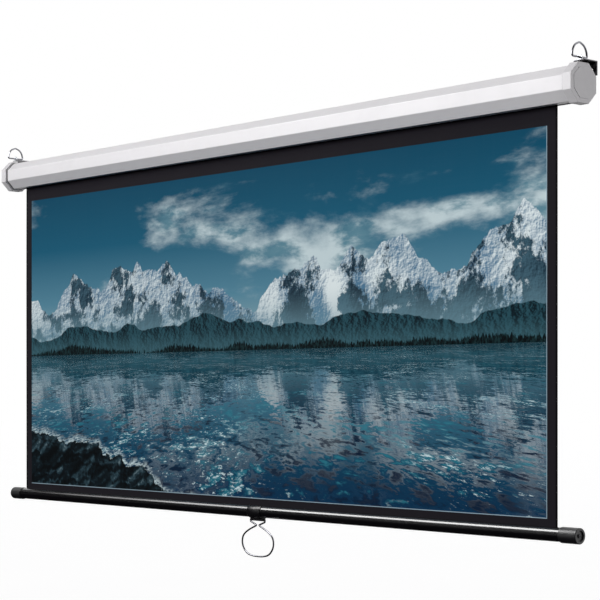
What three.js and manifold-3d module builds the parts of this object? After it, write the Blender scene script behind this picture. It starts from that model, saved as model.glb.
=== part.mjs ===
// Pull-down projection screen on a spring roller, hung by two wire bails or screwed to a wall.
// Millimetres. +X is to the right seen from the front, +Y points to the wall and +Z is up.
// The origin is halfway between the two hook points, just under the tops of the bails.
// The screen is drawn fully pulled down.
import * as THREE from "three";
import { mergeVertices } from "three/addons/utils/BufferGeometryUtils.js";
import Module from "manifold-3d";

const wasm = await Module();
wasm.setup();

// Fits
const seatGap = 0.3; // between two pieces that seat on each other
const runningGap = 0.5; // round a shaft or a wire that turns in a hole
const cutOverrun = 1; // how far a cutter runs past the face it cuts
const weldTolerance = 0.0001;

// Facets
const roundSides = 24;
const smallSides = 12;
const cornerSteps = 4;
const wireSides = 8;

// Fabric and picture
const pictureWidth = 1755;
const pictureHeight = 747;
const sideBorder = 25.5;
const topBorder = 35.5; // from the case down to the picture
const bottomBorder = 14.5; // from the picture down to the bottom bar
const fabricThickness = 0.5;
const wrapsAtRest = 2; // turns still on the roller when the screen is down

// Case shell, roll-formed from one strip, open along a slot in its underside
const caseAcrossFlats = 67;
const shellWall = 1;
const shellCornerRadius = 2.5;
const fabricBehindCentre = 6; // front of the fabric behind the case's middle plane
const slotAheadOfFabric = 4.5;
const slotWidth = 8;
const slotLipHeight = 3;
const endRoom = 55; // from the fabric's left edge to the end of the case
const springEndRoom = 13.5; // more at the right end, where the roller's spring is held

// Octagonal plugs pushed into the ends of the shell
const plugDepth = 12;
const plugBoreRoom = 1.5; // round the flanges and pawls of the roller
const lipRelief = 0.5;

// End brackets, each bent from one steel sheet, with a square corner behind the cap
const sheetThickness = 2;
const plateProud = 0.5; // edge of the plate outside the shell's faces
const flangeReach = 24; // how far the top and rear flanges stand out from the plate
const topFlangeRise = 11; // top of the upper flange above the plate's top flat
const topFlangeLead = 1; // how far the upper flange runs in front of the middle plane
const wallPadProud = 0.5; // rear flange behind the end cap
const keyholeEntryRadius = 3.8;
const keyholeNeckRadius = 2.3;
const keyholeRun = 6;
const keyholeFloor = 1.8; // metal under the keyhole
const ceilingHoleRadius = 2.3;
const ceilingHoleInset = 12;
const tabWidth = 13;
const tabHeight = 9.5;
const tabHoleInset = 5.5; // hole's centre below the top of the tab

// End caps, plastic cups that hide the brackets
const capProud = 4.5; // faces of the cap outside the shell's
const capCornerRadius = 3;
const capLength = 23;
const capNeckLength = 1;
const capNeckInset = 4;
const capWall = 7.5;
const capEndWall = 2.5;
const capEdgeBevel = 1.2;
const capPanelInset = 8.5;
const capPanelHeight = 1.5;
const capPanelBevel = 0.7;
const pegRadius = 2.5;
const pegDepth = 9;
const pegInset = 6; // pegs under the shell's top and bottom faces
const pegCornerInset = 1.5; // pegs behind the front edges of those faces

// Screws: radius and height of the head, radius and length of the shank
const bracketScrew = { head: 3.5, height: 2.4, shank: 1.75, length: 10 };
const shellScrew = { head: 3.5, height: 1.4, shank: 1.5, length: 9 };
const barCapScrew = { head: 4, height: 2, shank: 1.75, length: 18 };
const saddleScrew = { head: 2.8, height: 1.5, shank: 1.3, length: 6 };
const crossWidthShare = 0.25;
const crossReachShare = 0.62;
const crossDepthShare = 0.6;
const bracketScrewInset = 8.5; // in front of the shell's back
const bracketScrewOffset = 12; // above and below the middle

// Roller
const rollerRadius = 15;
const rollerWall = 1;
const rollerOverhang = 1; // tube past the fabric's edge
const rollerPlugInsert = 25;
const rollerPlugFlange = 2.7;
const rollerPlugFlangeRadius = 16;

// Free end of the roller: a round pin in a plastic bush
const idlePinRadius = 4;
const idlePinInsert = 22;
const idlePinPast = 5; // past the outside of the bracket
const idlePinEdge = 0.5;
const idleBushWall = 1.6;
const idleBushFlangeRadius = 9;
const idleBushFlange = 2;
const idleHubRadius = 7;

// Sprung end of the roller: a fixed arbor with a flat tang
const arborRadius = 4;
const arborTail = 2; // past the anchor
const tangThickness = 4;
const tangPast = 5; // past the outside of the bracket
const arborBushWall = 1;
const arborBushFlangeRadius = 7;
const arborBushFlange = 1;
const springLength = 215;
const springCoilRadius = 8.5;
const springWireRadius = 1;
const springTurns = 26;
const springStepsPerTurn = 8;
const springSides = 5;
const springSeatLength = 18;
const anchorFlange = 3;
const anchorPinRadius = 1.2;
const anchorPinInset = 11;

// Ratchet on the arbor and the two pawls on the roller
const ratchetRadius = 10;
const ratchetWidth = 4;
const notchRadius = 7.7;
const notchCount = 4;
const notchRampDegrees = 43;
const notchFootDegrees = 54.5;
const notchWallDegrees = 70.5;
const pawlCount = 2;
const pawlPivotRadius = 13.5;
const pawlBossRadius = 2.6;
const pawlPinRadius = 1.3;
const pawlPinHeadRadius = 2.2;
const pawlPinHead = 1;
// Edges of a pawl: share of the pivot's radius, and degrees round from the pivot
const pawlInnerShares = [
  [0.815, 10],
  [0.86, 30],
  [0.91, 45],
  [0.912, 52],
  [0.785, 54],
  [0.785, 62],
];
const pawlOuterShares = [
  [1.15, 62],
  [1.19, 45],
  [1.195, 25],
  [1.19, 8],
];

// Bottom bar
const barRadius = 14;
const barWall = 1;
const barSlotWidth = 2.6;
const barOverhang = 54; // end of the bar past the fabric's edge
const hemRodRadius = 3.5;
const barPlugDepth = 24;
const barCapWall = 1.2;
const barCapEndWall = 2.7;
const barCapRecess = 3;
const barCapRecessRadius = 10.5;
const barCapEdge = 1.2;
const barCapSetback = 12; // inner end of the cap past the fabric's edge

// Pull saddle and ring
const pullOffset = 37; // to the right of the middle
const saddleLength = 44;
const saddleWall = 1.2;
const saddleMouthHalfAngle = 28;
const saddleBossRadius = 4;
const saddleBossDrop = 17.6; // pivot under the middle of the bar
const saddleScrewSpan = 22;
const wireRadius = 2;
const ringPinDepth = 7;
const ringSideRoom = 2.7; // wire's middle past the boss's end
const ringBend = 2;
const ringKneeDrop = 5.8; // where the wire turns in towards the neck
const ringHalfWidth = 53.5;
const ringDrop = 83.2;
const ringNeckHalfWidth = 2.8;
const ringNeckDrop = 13.5;
const ringNeckBend = 5;
// Corners of the loop's right half: share of its half width, and share of its drop
const ringLoopShares = [
  [0.62, 0.31],
  [0.98, 0.47],
  [1.02, 0.72],
  [0.74, 0.95],
  [0.3, 1.01],
];
const ringSteps = 96;

// Hanging bails
const bailHalfWidth = 22;
const bailHeight = 28;
const bailCornerBend = 4;
const bailApexBend = 3.5;
const bailButtGap = 0.6;
const bailButtPlaceShare = 0.5;
// Corners of the arch's right half: share of the half width, and share of the height
const bailArchShares = [
  [0.94, 0.42],
  [0.63, 0.8],
];
const bailSteps = 60;

const degrees = Math.PI / 180;

// Places that follow from the sizes
const fabricWidth = pictureWidth + 2 * sideBorder;
const fabricEdge = fabricWidth / 2;
const caseApothem = caseAcrossFlats / 2;
const caseFlatHalf = caseApothem * Math.tan(Math.PI / 8);
const plateAcrossFlats = caseAcrossFlats + 2 * plateProud;
const capAcrossFlats = caseAcrossFlats + 2 * capProud;
const plugBoreRadius = rollerPlugFlangeRadius + plugBoreRoom;
const pegForward = caseFlatHalf - pegCornerInset;
const pegOffset = caseApothem - pegInset;
const bracketScrewBack = caseApothem - bracketScrewInset;
const caseEnd = fabricEdge + endRoom + springEndRoom;
const capStart = caseEnd - capLength;
const plateOuter = capStart - seatGap;
const plateInner = plateOuter - sheetThickness;
const shellEnd = plateInner - seatGap;
const shellLeftEnd = springEndRoom - shellEnd;
const plugStart = shellEnd - plugDepth;
const shellScrewX = (plugStart + shellEnd) / 2;
const slotFront = fabricBehindCentre - slotAheadOfFabric;
const slotBack = slotFront + slotWidth;
const flangeEnd = plateOuter + flangeReach;
const flangeMiddle = (plateOuter + flangeEnd) / 2;
const idlePlateInner = plateInner - springEndRoom;
const idlePlateOuter = plateOuter - springEndRoom;
const flangeTop = plateAcrossFlats / 2 + topFlangeRise;
const wallPadY = capAcrossFlats / 2 + wallPadProud;
const wallPadFoot = (capAcrossFlats / 2 + seatGap) * Math.SQRT2 - (wallPadY - sheetThickness);
const tabHoleZ = flangeTop + tabHeight - tabHoleInset;
const wrapInner = rollerRadius + seatGap;
const wrapOuter = wrapInner + wrapsAtRest * fabricThickness;
const rollerY = fabricBehindCentre - seatGap - wrapOuter;
const rollerEnd = fabricEdge + rollerOverhang;
const rollerBore = rollerRadius - rollerWall;
const plugFlangeStart = rollerEnd + seatGap;
const plugFlangeEnd = plugFlangeStart + rollerPlugFlange;
const plugInnerEnd = rollerEnd - rollerPlugInsert;
const arborBushEnd = plugFlangeEnd + seatGap + arborBushFlange;
const ratchetStart = arborBushEnd + seatGap;
const ratchetEnd = ratchetStart + ratchetWidth;
const springFlatRadius = springCoilRadius * Math.cos(Math.PI / springStepsPerTurn);
const springSeatRadius = springFlatRadius - springWireRadius - seatGap;
const springEnd = plugInnerEnd - seatGap;
const springStart = springEnd - springLength;
const anchorShoulder = springStart - seatGap;
const anchorPinX = anchorShoulder + anchorPinInset;
const tangWidth = arborRadius * Math.SQRT2;
const barInnerRadius = barRadius - barWall;
const barY = fabricBehindCentre + fabricThickness / 2;
const barZ = -(caseApothem + topBorder + pictureHeight + bottomBorder + barRadius);
const barEnd = fabricEdge + barOverhang;
const barCapInner = fabricEdge + barCapSetback;
const barCapFloor = barEnd - barCapRecess;
const barTubeEnd = barCapFloor - barCapEndWall - seatGap;
const hemWrapInner = hemRodRadius + seatGap;
const hemWrapOuter = hemWrapInner + fabricThickness;
const hemZ = barInnerRadius - seatGap - hemWrapOuter;
const fabricFoot = barZ + hemZ + hemWrapOuter + seatGap;
const saddleInner = barRadius + seatGap;
const saddleOuter = saddleInner + saddleWall;

// A shape drawn in Y and Z, made to run along X.
const alongX = new THREE.Matrix4().makeBasis(
  new THREE.Vector3(0, 1, 0),
  new THREE.Vector3(0, 0, 1),
  new THREE.Vector3(1, 0, 0),
);

function solidOf(geometry) {
  const bare = geometry.clone();
  bare.deleteAttribute("normal");
  bare.deleteAttribute("uv");
  const merged = mergeVertices(bare, weldTolerance);
  const vertProperties = merged.attributes.position.array;
  const triVerts = new Uint32Array(merged.index.array);
  return new wasm.Manifold(new wasm.Mesh({ numProp: 3, vertProperties, triVerts }));
}

function geometryOf(solid) {
  const { vertProperties, triVerts } = solid.getMesh();
  const geometry = new THREE.BufferGeometry();
  geometry.setAttribute("position", new THREE.BufferAttribute(vertProperties, 3));
  geometry.setIndex(new THREE.BufferAttribute(triVerts, 1));
  geometry.computeVertexNormals();
  return geometry;
}

function prism(shape, from, to, sides = roundSides) {
  const options = { depth: to - from, bevelEnabled: false, curveSegments: sides / 2 };
  const geometry = new THREE.ExtrudeGeometry(shape, options);
  return solidOf(geometry.applyMatrix4(alongX).translate(from, 0, 0));
}

function bevelledPrism(shape, from, to, bevel, sides) {
  const options = {
    depth: to - from - 2 * bevel,
    bevelThickness: bevel,
    bevelSize: bevel,
    bevelOffset: -bevel,
    bevelSegments: 1,
    curveSegments: sides / 2,
  };
  const geometry = new THREE.ExtrudeGeometry(shape, options);
  return solidOf(geometry.applyMatrix4(alongX).translate(from + bevel, 0, 0));
}

function disc(radius, y = 0, z = 0) {
  return new THREE.Shape().absarc(y, z, radius, 0, 2 * Math.PI);
}

function ringShape(outer, inner) {
  const shape = disc(outer);
  shape.holes.push(new THREE.Path().absarc(0, 0, inner, 0, 2 * Math.PI, true));
  return shape;
}

// Eight flats, with an arc at each corner.
function octagon(acrossFlats, cornerRadius) {
  const shape = new THREE.Shape();
  const halfCorner = Math.PI / 8;
  const arcCentre = (acrossFlats / 2 - cornerRadius) / Math.cos(halfCorner);
  for (let corner = 0; corner < 8; corner++) {
    const angle = (2 * corner + 1) * halfCorner;
    const y = arcCentre * Math.cos(angle);
    const z = arcCentre * Math.sin(angle);
    shape.absarc(y, z, cornerRadius, angle - halfCorner, angle + halfCorner);
  }
  return shape;
}

function polygon(points) {
  return new THREE.Shape(points.map(([y, z]) => new THREE.Vector2(y, z)));
}

function polar(radius, angleDegrees) {
  const angle = angleDegrees * degrees;
  return [radius * Math.cos(angle), radius * Math.sin(angle)];
}

function block(low, high) {
  const [width, depth, height] = high.map((value, axis) => value - low[axis]);
  const middle = high.map((value, axis) => (value + low[axis]) / 2);
  return solidOf(new THREE.BoxGeometry(width, depth, height).translate(...middle));
}

// A piece turned about X. The profile lists radius and X, and starts and ends on the axis.
function turned(profile, sides = roundSides) {
  const points = profile.map(([radius, x]) => new THREE.Vector2(radius, x));
  const geometry = new THREE.LatheGeometry(points, sides);
  return solidOf(geometry.rotateZ(-Math.PI / 2));
}

// A pan head with a cross recess, its seat at X = 0 and its shank along -X.
function screw(size) {
  const body = turned(
    [
      [0, -size.length],
      [size.shank, -size.length + size.shank],
      [size.shank, 0],
      [size.head, 0],
      [size.head, size.height * crossDepthShare],
      [size.head - size.height * (1 - crossDepthShare), size.height],
      [0, size.height],
    ],
    smallSides,
  );
  const reach = size.head * crossReachShare;
  const half = (size.head * crossWidthShare) / 2;
  const floor = size.height * (1 - crossDepthShare);
  const top = size.height + cutOverrun;
  const across = block([floor, -reach, -half], [top, reach, half]);
  const upright = block([floor, -half, -reach], [top, half, reach]);
  return body.subtract(across.add(upright));
}

// A hole's cutter along X, between two faces and past them.
function drill(radius, from, to, y, z, sides = smallSides) {
  return prism(disc(radius, y, z), from - cutOverrun, to + cutOverrun, sides);
}

// The same along Y.
function drillAlongY(radius, from, to, x, z) {
  const length = to - from + 2 * cutOverrun;
  const geometry = new THREE.CylinderGeometry(radius, radius, length, smallSides);
  return solidOf(geometry.translate(x, (from + to) / 2, z));
}

function rodAlongZ(radius, from, to, x, y) {
  const geometry = new THREE.CylinderGeometry(radius, radius, to - from, smallSides);
  return solidOf(geometry.rotateX(Math.PI / 2).translate(x, y, (from + to) / 2));
}

// A wire bent at each corner over the given length on both sides of it, in X and Z.
function bentWire(corners, steps) {
  const points = corners.map(([x, z]) => new THREE.Vector3(x, 0, z));
  const path = new THREE.CurvePath();
  let from = points[0];
  for (let i = 1; i < points.length - 1; i++) {
    const back = points[i - 1].clone().sub(points[i]);
    const ahead = points[i + 1].clone().sub(points[i]);
    const bend = Math.min(corners[i][2] ?? Infinity, back.length() / 2, ahead.length() / 2);
    const start = points[i].clone().add(back.setLength(bend));
    const end = points[i].clone().add(ahead.setLength(bend));
    if (start.distanceTo(from) > weldTolerance) path.add(new THREE.LineCurve3(from, start));
    path.add(new THREE.QuadraticBezierCurve3(start, points[i], end));
    from = end;
  }
  path.add(new THREE.LineCurve3(from, points[points.length - 1]));
  const options = { steps, extrudePath: path, curveSegments: wireSides / 2 };
  return new THREE.ExtrudeGeometry(disc(wireRadius), options);
}

const finishes = {
  whiteEnamel: { color: 0xf0eef0, roughness: 0.42, metalness: 0 },
  greyPlastic: { color: 0xcbc9cc, roughness: 0.55, metalness: 0 },
  darkSteel: { color: 0x3a393c, roughness: 0.5, metalness: 0.4 },
  zincSteel: { color: 0xb8b9bb, roughness: 0.35, metalness: 0.9 },
  blackenedSteel: { color: 0x1f1f21, roughness: 0.5, metalness: 0.6 },
  chromeWire: { color: 0xd8d8dc, roughness: 0.12, metalness: 1 },
  springSteel: { color: 0x6d6f74, roughness: 0.4, metalness: 0.9 },
  blackEnamel: { color: 0x060508, roughness: 0.16, metalness: 0 },
  blackPlastic: { color: 0x19181b, roughness: 0.38, metalness: 0 },
  naturalPlastic: { color: 0xe4e0d2, roughness: 0.5, metalness: 0 },
  blackFabric: { color: 0x1d1c22, roughness: 0.85, metalness: 0 },
  printedFabric: { color: 0x335c6b, roughness: 0.8, metalness: 0 },
};

function piece(name, shape, finish) {
  const geometry = shape.isBufferGeometry ? shape : geometryOf(shape);
  const mesh = new THREE.Mesh(geometry, new THREE.MeshStandardMaterial(finishes[finish]));
  mesh.name = name;
  return mesh;
}

// Case

function caseShell() {
  const bore = caseAcrossFlats - 2 * shellWall;
  const boreCorner = shellCornerRadius - shellWall;
  const outline = octagon(caseAcrossFlats, shellCornerRadius);
  const outside = prism(outline, shellLeftEnd, shellEnd, cornerSteps);
  const inside = octagon(bore, boreCorner);
  const hollow = prism(inside, shellLeftEnd - cutOverrun, shellEnd + cutOverrun, cornerSteps);
  const lipTop = -bore / 2 + slotLipHeight;
  const slot = block(
    [shellLeftEnd - cutOverrun, slotFront, -caseApothem - cutOverrun],
    [shellEnd + cutOverrun, slotBack, lipTop],
  );
  const lipFoot = -caseApothem + shellWall / 2;
  const frontLip = block([shellLeftEnd, slotFront - shellWall, lipFoot], [shellEnd, slotFront, lipTop]);
  const backLip = block([shellLeftEnd, slotBack, lipFoot], [shellEnd, slotBack + shellWall, lipTop]);
  const screwRadius = shellScrew.shank + seatGap;
  return outside
    .subtract(hollow)
    .subtract(slot)
    .add(frontLip)
    .add(backLip.intersect(outside))
    .subtract(drillAlongY(screwRadius, 0, caseApothem, shellScrewX, 0))
    .subtract(drillAlongY(screwRadius, 0, caseApothem, springEndRoom - shellScrewX, 0));
}

function pegHoles(from, to) {
  const radius = pegRadius + seatGap;
  const upper = drill(radius, from, to, -pegForward, pegOffset);
  return upper.add(drill(radius, from, to, -pegForward, -pegOffset));
}

function bracketScrewHoles(from, to) {
  const radius = bracketScrew.shank + seatGap;
  const upper = drill(radius, from, to, bracketScrewBack, bracketScrewOffset);
  return upper.add(drill(radius, from, to, bracketScrewBack, -bracketScrewOffset));
}

function shellPlug() {
  const acrossFlats = caseAcrossFlats - 2 * (shellWall + seatGap);
  const corner = shellCornerRadius - shellWall - seatGap;
  const body = prism(octagon(acrossFlats, corner), plugStart, shellEnd, cornerSteps);
  const bore = drill(plugBoreRadius, plugStart, shellEnd, rollerY, 0, roundSides);
  const lipSide = shellWall + lipRelief;
  const lipRoom = block(
    [plugStart - cutOverrun, slotFront - lipSide, -caseApothem],
    [shellEnd + cutOverrun, slotBack + lipSide, -caseApothem + slotLipHeight + lipSide],
  );
  return body
    .subtract(bore)
    .subtract(lipRoom)
    .subtract(pegHoles(plugStart, shellEnd))
    .subtract(bracketScrewHoles(plugStart, shellEnd))
    .subtract(drillAlongY(shellScrew.shank + seatGap, 0, caseApothem, shellScrewX, 0));
}

// A round entry under a narrow neck, cut through the rear flange.
function keyhole() {
  const entryZ = wallPadFoot + keyholeFloor + keyholeEntryRadius;
  const neckZ = entryZ + keyholeRun;
  const from = wallPadY - sheetThickness;
  const entry = drillAlongY(keyholeEntryRadius, from, wallPadY, flangeMiddle, entryZ);
  const neck = drillAlongY(keyholeNeckRadius, from, wallPadY, flangeMiddle, neckZ);
  const run = block(
    [flangeMiddle - keyholeNeckRadius, from - cutOverrun, entryZ],
    [flangeMiddle + keyholeNeckRadius, wallPadY + cutOverrun, neckZ],
  );
  return entry.add(run).add(neck);
}

// The front edge of the top flange, turned up round the bail's wire.
function bailTab() {
  const outline = new THREE.Shape();
  const half = tabWidth / 2;
  outline.moveTo(-half, flangeTop - sheetThickness);
  outline.lineTo(half, flangeTop - sheetThickness);
  outline.absarc(0, flangeTop + tabHeight - half, half, 0, Math.PI);
  const options = { depth: sheetThickness, bevelEnabled: false, curveSegments: smallSides / 2 };
  const back = sheetThickness - topFlangeLead;
  const geometry = new THREE.ExtrudeGeometry(outline, options).rotateX(Math.PI / 2);
  const tab = solidOf(geometry.translate(flangeMiddle, back, 0));
  const hole = drillAlongY(wireRadius + runningGap, -topFlangeLead, back, flangeMiddle, tabHoleZ);
  return tab.subtract(hole);
}

function endBracket(shaftHole) {
  const outline = octagon(plateAcrossFlats, shellCornerRadius);
  const plate = prism(outline, plateInner, plateOuter, cornerSteps);
  const corner = block([plateInner, -topFlangeLead, wallPadFoot], [plateOuter, wallPadY, flangeTop]);
  const top = block(
    [plateInner, -topFlangeLead, flangeTop - sheetThickness],
    [flangeEnd, wallPadY, flangeTop],
  );
  const rear = block(
    [plateInner, wallPadY - sheetThickness, wallPadFoot],
    [flangeEnd, wallPadY, flangeTop],
  );
  const ceilingHole = rodAlongZ(
    ceilingHoleRadius,
    flangeTop - sheetThickness - cutOverrun,
    flangeTop + cutOverrun,
    flangeMiddle,
    wallPadY - ceilingHoleInset,
  );
  return plate
    .add(corner)
    .add(top)
    .add(rear)
    .add(bailTab())
    .subtract(keyhole())
    .subtract(ceilingHole)
    .subtract(pegHoles(plateInner, plateOuter))
    .subtract(bracketScrewHoles(plateInner, plateOuter))
    .subtract(shaftHole);
}

function endCap() {
  const bodyEnd = caseEnd - capPanelHeight;
  const hollowEnd = bodyEnd - capEndWall;
  const panelStart = bodyEnd - capPanelHeight;
  const insetOctagon = (inset) => octagon(capAcrossFlats - 2 * inset, capCornerRadius);
  const neck = prism(insetOctagon(capNeckInset), capStart, hollowEnd, cornerSteps);
  const bodyStart = capStart + capNeckLength;
  const body = bevelledPrism(insetOctagon(0), bodyStart, bodyEnd, capEdgeBevel, cornerSteps);
  const panel = bevelledPrism(insetOctagon(capPanelInset), panelStart, caseEnd, capPanelBevel, cornerSteps);
  const hollow = prism(insetOctagon(capWall), capStart - cutOverrun, hollowEnd, cornerSteps);
  const pegEnd = shellEnd - pegDepth;
  const upper = prism(disc(pegRadius, -pegForward, pegOffset), pegEnd, panelStart, smallSides);
  const lower = prism(disc(pegRadius, -pegForward, -pegOffset), pegEnd, panelStart, smallSides);
  return neck.add(body).add(panel).subtract(hollow).add(upper).add(lower);
}

function screwAt(name, size, [x, y, z], turn = [0, 0, 0], finish = "zincSteel") {
  const mesh = piece(name, screw(size), finish);
  mesh.position.set(x, y, z);
  mesh.rotation.set(...turn);
  return mesh;
}

// The pieces that both ends of the case have. The left end is the right one mirrored, nearer to the fabric.
function caseEndGroup(side, shaftHole) {
  const end = new THREE.Group();
  end.scale.x = side === "left" ? -1 : 1;
  end.position.x = side === "left" ? springEndRoom : 0;
  end.add(piece("shell_plug_" + side, shellPlug(), "blackPlastic"));
  end.add(piece("end_bracket_" + side, endBracket(shaftHole), "darkSteel"));
  end.add(piece("end_cap_" + side, endCap(), "greyPlastic"));
  const seat = plateOuter + seatGap;
  const upper = [seat, bracketScrewBack, bracketScrewOffset];
  const lower = [seat, bracketScrewBack, -bracketScrewOffset];
  end.add(screwAt("bracket_screw_upper_" + side, bracketScrew, upper));
  end.add(screwAt("bracket_screw_lower_" + side, bracketScrew, lower));
  const rear = [shellScrewX, caseApothem + seatGap, 0];
  end.add(screwAt("shell_screw_" + side, shellScrew, rear, [0, 0, Math.PI / 2]));
  return end;
}

function projectionFabric() {
  return block(
    [-fabricEdge, fabricBehindCentre, fabricFoot],
    [fabricEdge, fabricBehindCentre + fabricThickness, 0],
  );
}

// Free end of the roller. These pieces are drawn at the right and mirrored to the left.

function idleBush() {
  const bore = idlePinRadius + runningGap;
  const barrel = bore + idleBushWall;
  const flangeFrom = idlePlateInner - seatGap - idleBushFlange;
  const body = turned([
    [0, flangeFrom],
    [idleBushFlangeRadius, flangeFrom],
    [idleBushFlangeRadius, idlePlateInner - seatGap],
    [barrel, idlePlateInner - seatGap],
    [barrel, idlePlateOuter + idleBushFlange],
    [0, idlePlateOuter + idleBushFlange],
  ]);
  return body.subtract(drill(bore, flangeFrom, idlePlateOuter + idleBushFlange, 0, 0, roundSides));
}

function idlePlug() {
  const hubEnd = idlePlateInner - 2 * seatGap - idleBushFlange;
  const body = turned([
    [0, plugInnerEnd],
    [rollerBore - seatGap, plugInnerEnd],
    [rollerBore - seatGap, plugFlangeStart],
    [rollerPlugFlangeRadius, plugFlangeStart],
    [rollerPlugFlangeRadius, plugFlangeEnd],
    [idleHubRadius, plugFlangeEnd],
    [idleHubRadius, hubEnd],
    [0, hubEnd],
  ]);
  return body.subtract(drill(idlePinRadius + seatGap, plugInnerEnd, hubEnd, 0, 0, roundSides));
}

function idlePin() {
  const from = rollerEnd - idlePinInsert;
  const to = idlePlateOuter + idlePinPast;
  return turned([
    [0, from],
    [idlePinRadius, from],
    [idlePinRadius, to - idlePinEdge],
    [idlePinRadius - idlePinEdge, to],
    [0, to],
  ]);
}

// Sprung end of the roller

function anchorPinHole() {
  const reach = springSeatRadius + cutOverrun;
  return rodAlongZ(anchorPinRadius + seatGap, -reach, reach, anchorPinX, 0);
}

function arbor() {
  const from = anchorShoulder - anchorFlange - arborTail;
  const rod = prism(disc(arborRadius), from, plateInner - seatGap);
  const tang = block(
    [plateInner - 2 * seatGap, -tangThickness / 2, -tangWidth / 2],
    [plateOuter + tangPast, tangThickness / 2, tangWidth / 2],
  );
  return rod.add(tang).subtract(anchorPinHole());
}

function tangHole() {
  return block(
    [plateInner - cutOverrun, rollerY - tangThickness / 2 - seatGap, -tangWidth / 2 - seatGap],
    [plateOuter + cutOverrun, rollerY + tangThickness / 2 + seatGap, tangWidth / 2 + seatGap],
  );
}

function ratchetWheel() {
  let wheel = prism(disc(ratchetRadius), ratchetStart, ratchetEnd);
  const outside = ratchetRadius + cutOverrun;
  for (let notch = 0; notch < notchCount; notch++) {
    const turn = (360 / notchCount) * notch;
    const outline = polygon([
      polar(ratchetRadius, turn + notchRampDegrees),
      polar(notchRadius, turn + notchFootDegrees),
      polar(notchRadius, turn + notchWallDegrees),
      polar(outside, turn + notchWallDegrees),
      polar(outside, turn + notchRampDegrees),
    ]);
    wheel = wheel.subtract(prism(outline, ratchetStart - cutOverrun, ratchetEnd + cutOverrun));
  }
  return wheel.subtract(drill(arborRadius + seatGap, ratchetStart, ratchetEnd, 0, 0, roundSides));
}

function springAnchor() {
  const from = anchorShoulder - anchorFlange;
  const to = anchorShoulder + springSeatLength;
  const body = turned([
    [0, from],
    [rollerBore - runningGap, from],
    [rollerBore - runningGap, anchorShoulder],
    [springSeatRadius, anchorShoulder],
    [springSeatRadius, to],
    [0, to],
  ]);
  const bore = drill(arborRadius + seatGap, from, to, 0, 0, roundSides);
  return body.subtract(bore).subtract(anchorPinHole());
}

function anchorPin() {
  const half = springSeatRadius - seatGap;
  return rodAlongZ(anchorPinRadius, -half, half, anchorPinX, 0);
}

class SpringCurve extends THREE.Curve {
  getPoint(share, target = new THREE.Vector3()) {
    const angle = 2 * Math.PI * springTurns * share;
    const x = springStart + springWireRadius + share * (springLength - 2 * springWireRadius);
    return target.set(x, springCoilRadius * Math.cos(angle), springCoilRadius * Math.sin(angle));
  }
}

function torsionSpring() {
  const options = {
    steps: springTurns * springStepsPerTurn,
    extrudePath: new SpringCurve(),
    curveSegments: springSides / 2,
  };
  return new THREE.ExtrudeGeometry(disc(springWireRadius), options);
}

// Least distance between two turns of the spring, less the wire: points one turn apart or more.
function springSelfGap() {
  const points = new SpringCurve().getSpacedPoints(springTurns * springStepsPerTurn);
  let least = Infinity;
  points.forEach((point, i) => {
    const others = points.slice(i + springStepsPerTurn - 1);
    others.forEach((other) => {
      least = Math.min(least, point.distanceTo(other));
    });
  });
  return least - 2 * springWireRadius;
}
console.log("torsion spring, least gap to itself: " + springSelfGap().toFixed(2) + " mm");

function drivePlug() {
  const bushHole = arborRadius + runningGap + arborBushWall + seatGap;
  const noseEnd = plugInnerEnd - springSeatLength;
  let body = turned([
    [0, noseEnd],
    [springSeatRadius, noseEnd],
    [springSeatRadius, plugInnerEnd],
    [rollerBore - seatGap, plugInnerEnd],
    [rollerBore - seatGap, plugFlangeStart],
    [rollerPlugFlangeRadius, plugFlangeStart],
    [rollerPlugFlangeRadius, plugFlangeEnd],
    [0, plugFlangeEnd],
  ]);
  for (let pawl = 0; pawl < pawlCount; pawl++) {
    const [y, z] = polar(pawlPivotRadius, (360 / pawlCount) * pawl);
    const bossEnd = ratchetStart - seatGap;
    const boss = prism(disc(pawlBossRadius, y, z), plugFlangeStart, bossEnd, smallSides);
    const pinHole = disc(pawlPinRadius + seatGap, y, z);
    body = body.add(boss).subtract(prism(pinHole, plugFlangeStart, bossEnd + cutOverrun, smallSides));
  }
  const shaftRoom = drill(arborRadius + runningGap, noseEnd, plugFlangeEnd, 0, 0, roundSides);
  const bushRoom = prism(disc(bushHole), plugInnerEnd, plugFlangeEnd + cutOverrun);
  return body.subtract(shaftRoom).subtract(bushRoom);
}

function arborBush() {
  const bore = arborRadius + runningGap;
  const from = plugInnerEnd + seatGap;
  const body = turned([
    [0, from],
    [bore + arborBushWall, from],
    [bore + arborBushWall, plugFlangeEnd + seatGap],
    [arborBushFlangeRadius, plugFlangeEnd + seatGap],
    [arborBushFlangeRadius, arborBushEnd],
    [0, arborBushEnd],
  ]);
  return body.subtract(drill(bore, from, arborBushEnd, 0, 0, roundSides));
}

// A pawl about its own pivot. At rest its nose clears the ratchet, and it swings in to a notch.
function pawlShape(turn) {
  const [pivotY, pivotZ] = polar(pawlPivotRadius, turn);
  const edge = (shares) => shares.map(([share, at]) => polar(pawlPivotRadius * share, turn + at));
  const outline = [[pivotY, pivotZ], ...edge(pawlInnerShares), ...edge(pawlOuterShares)];
  const lever = polygon(outline.map(([y, z]) => [y - pivotY, z - pivotZ]));
  return prism(lever, ratchetStart, ratchetEnd)
    .add(prism(disc(pawlBossRadius), ratchetStart, ratchetEnd, smallSides))
    .subtract(drill(pawlPinRadius + seatGap, ratchetStart, ratchetEnd, 0, 0));
}

function pawlPin() {
  const from = plugFlangeStart + seatGap;
  const headFrom = ratchetEnd + seatGap;
  return turned(
    [
      [0, from],
      [pawlPinRadius, from],
      [pawlPinRadius, headFrom],
      [pawlPinHeadRadius, headFrom],
      [pawlPinHeadRadius, headFrom + pawlPinHead],
      [0, headFrom + pawlPinHead],
    ],
    smallSides,
  );
}

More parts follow.
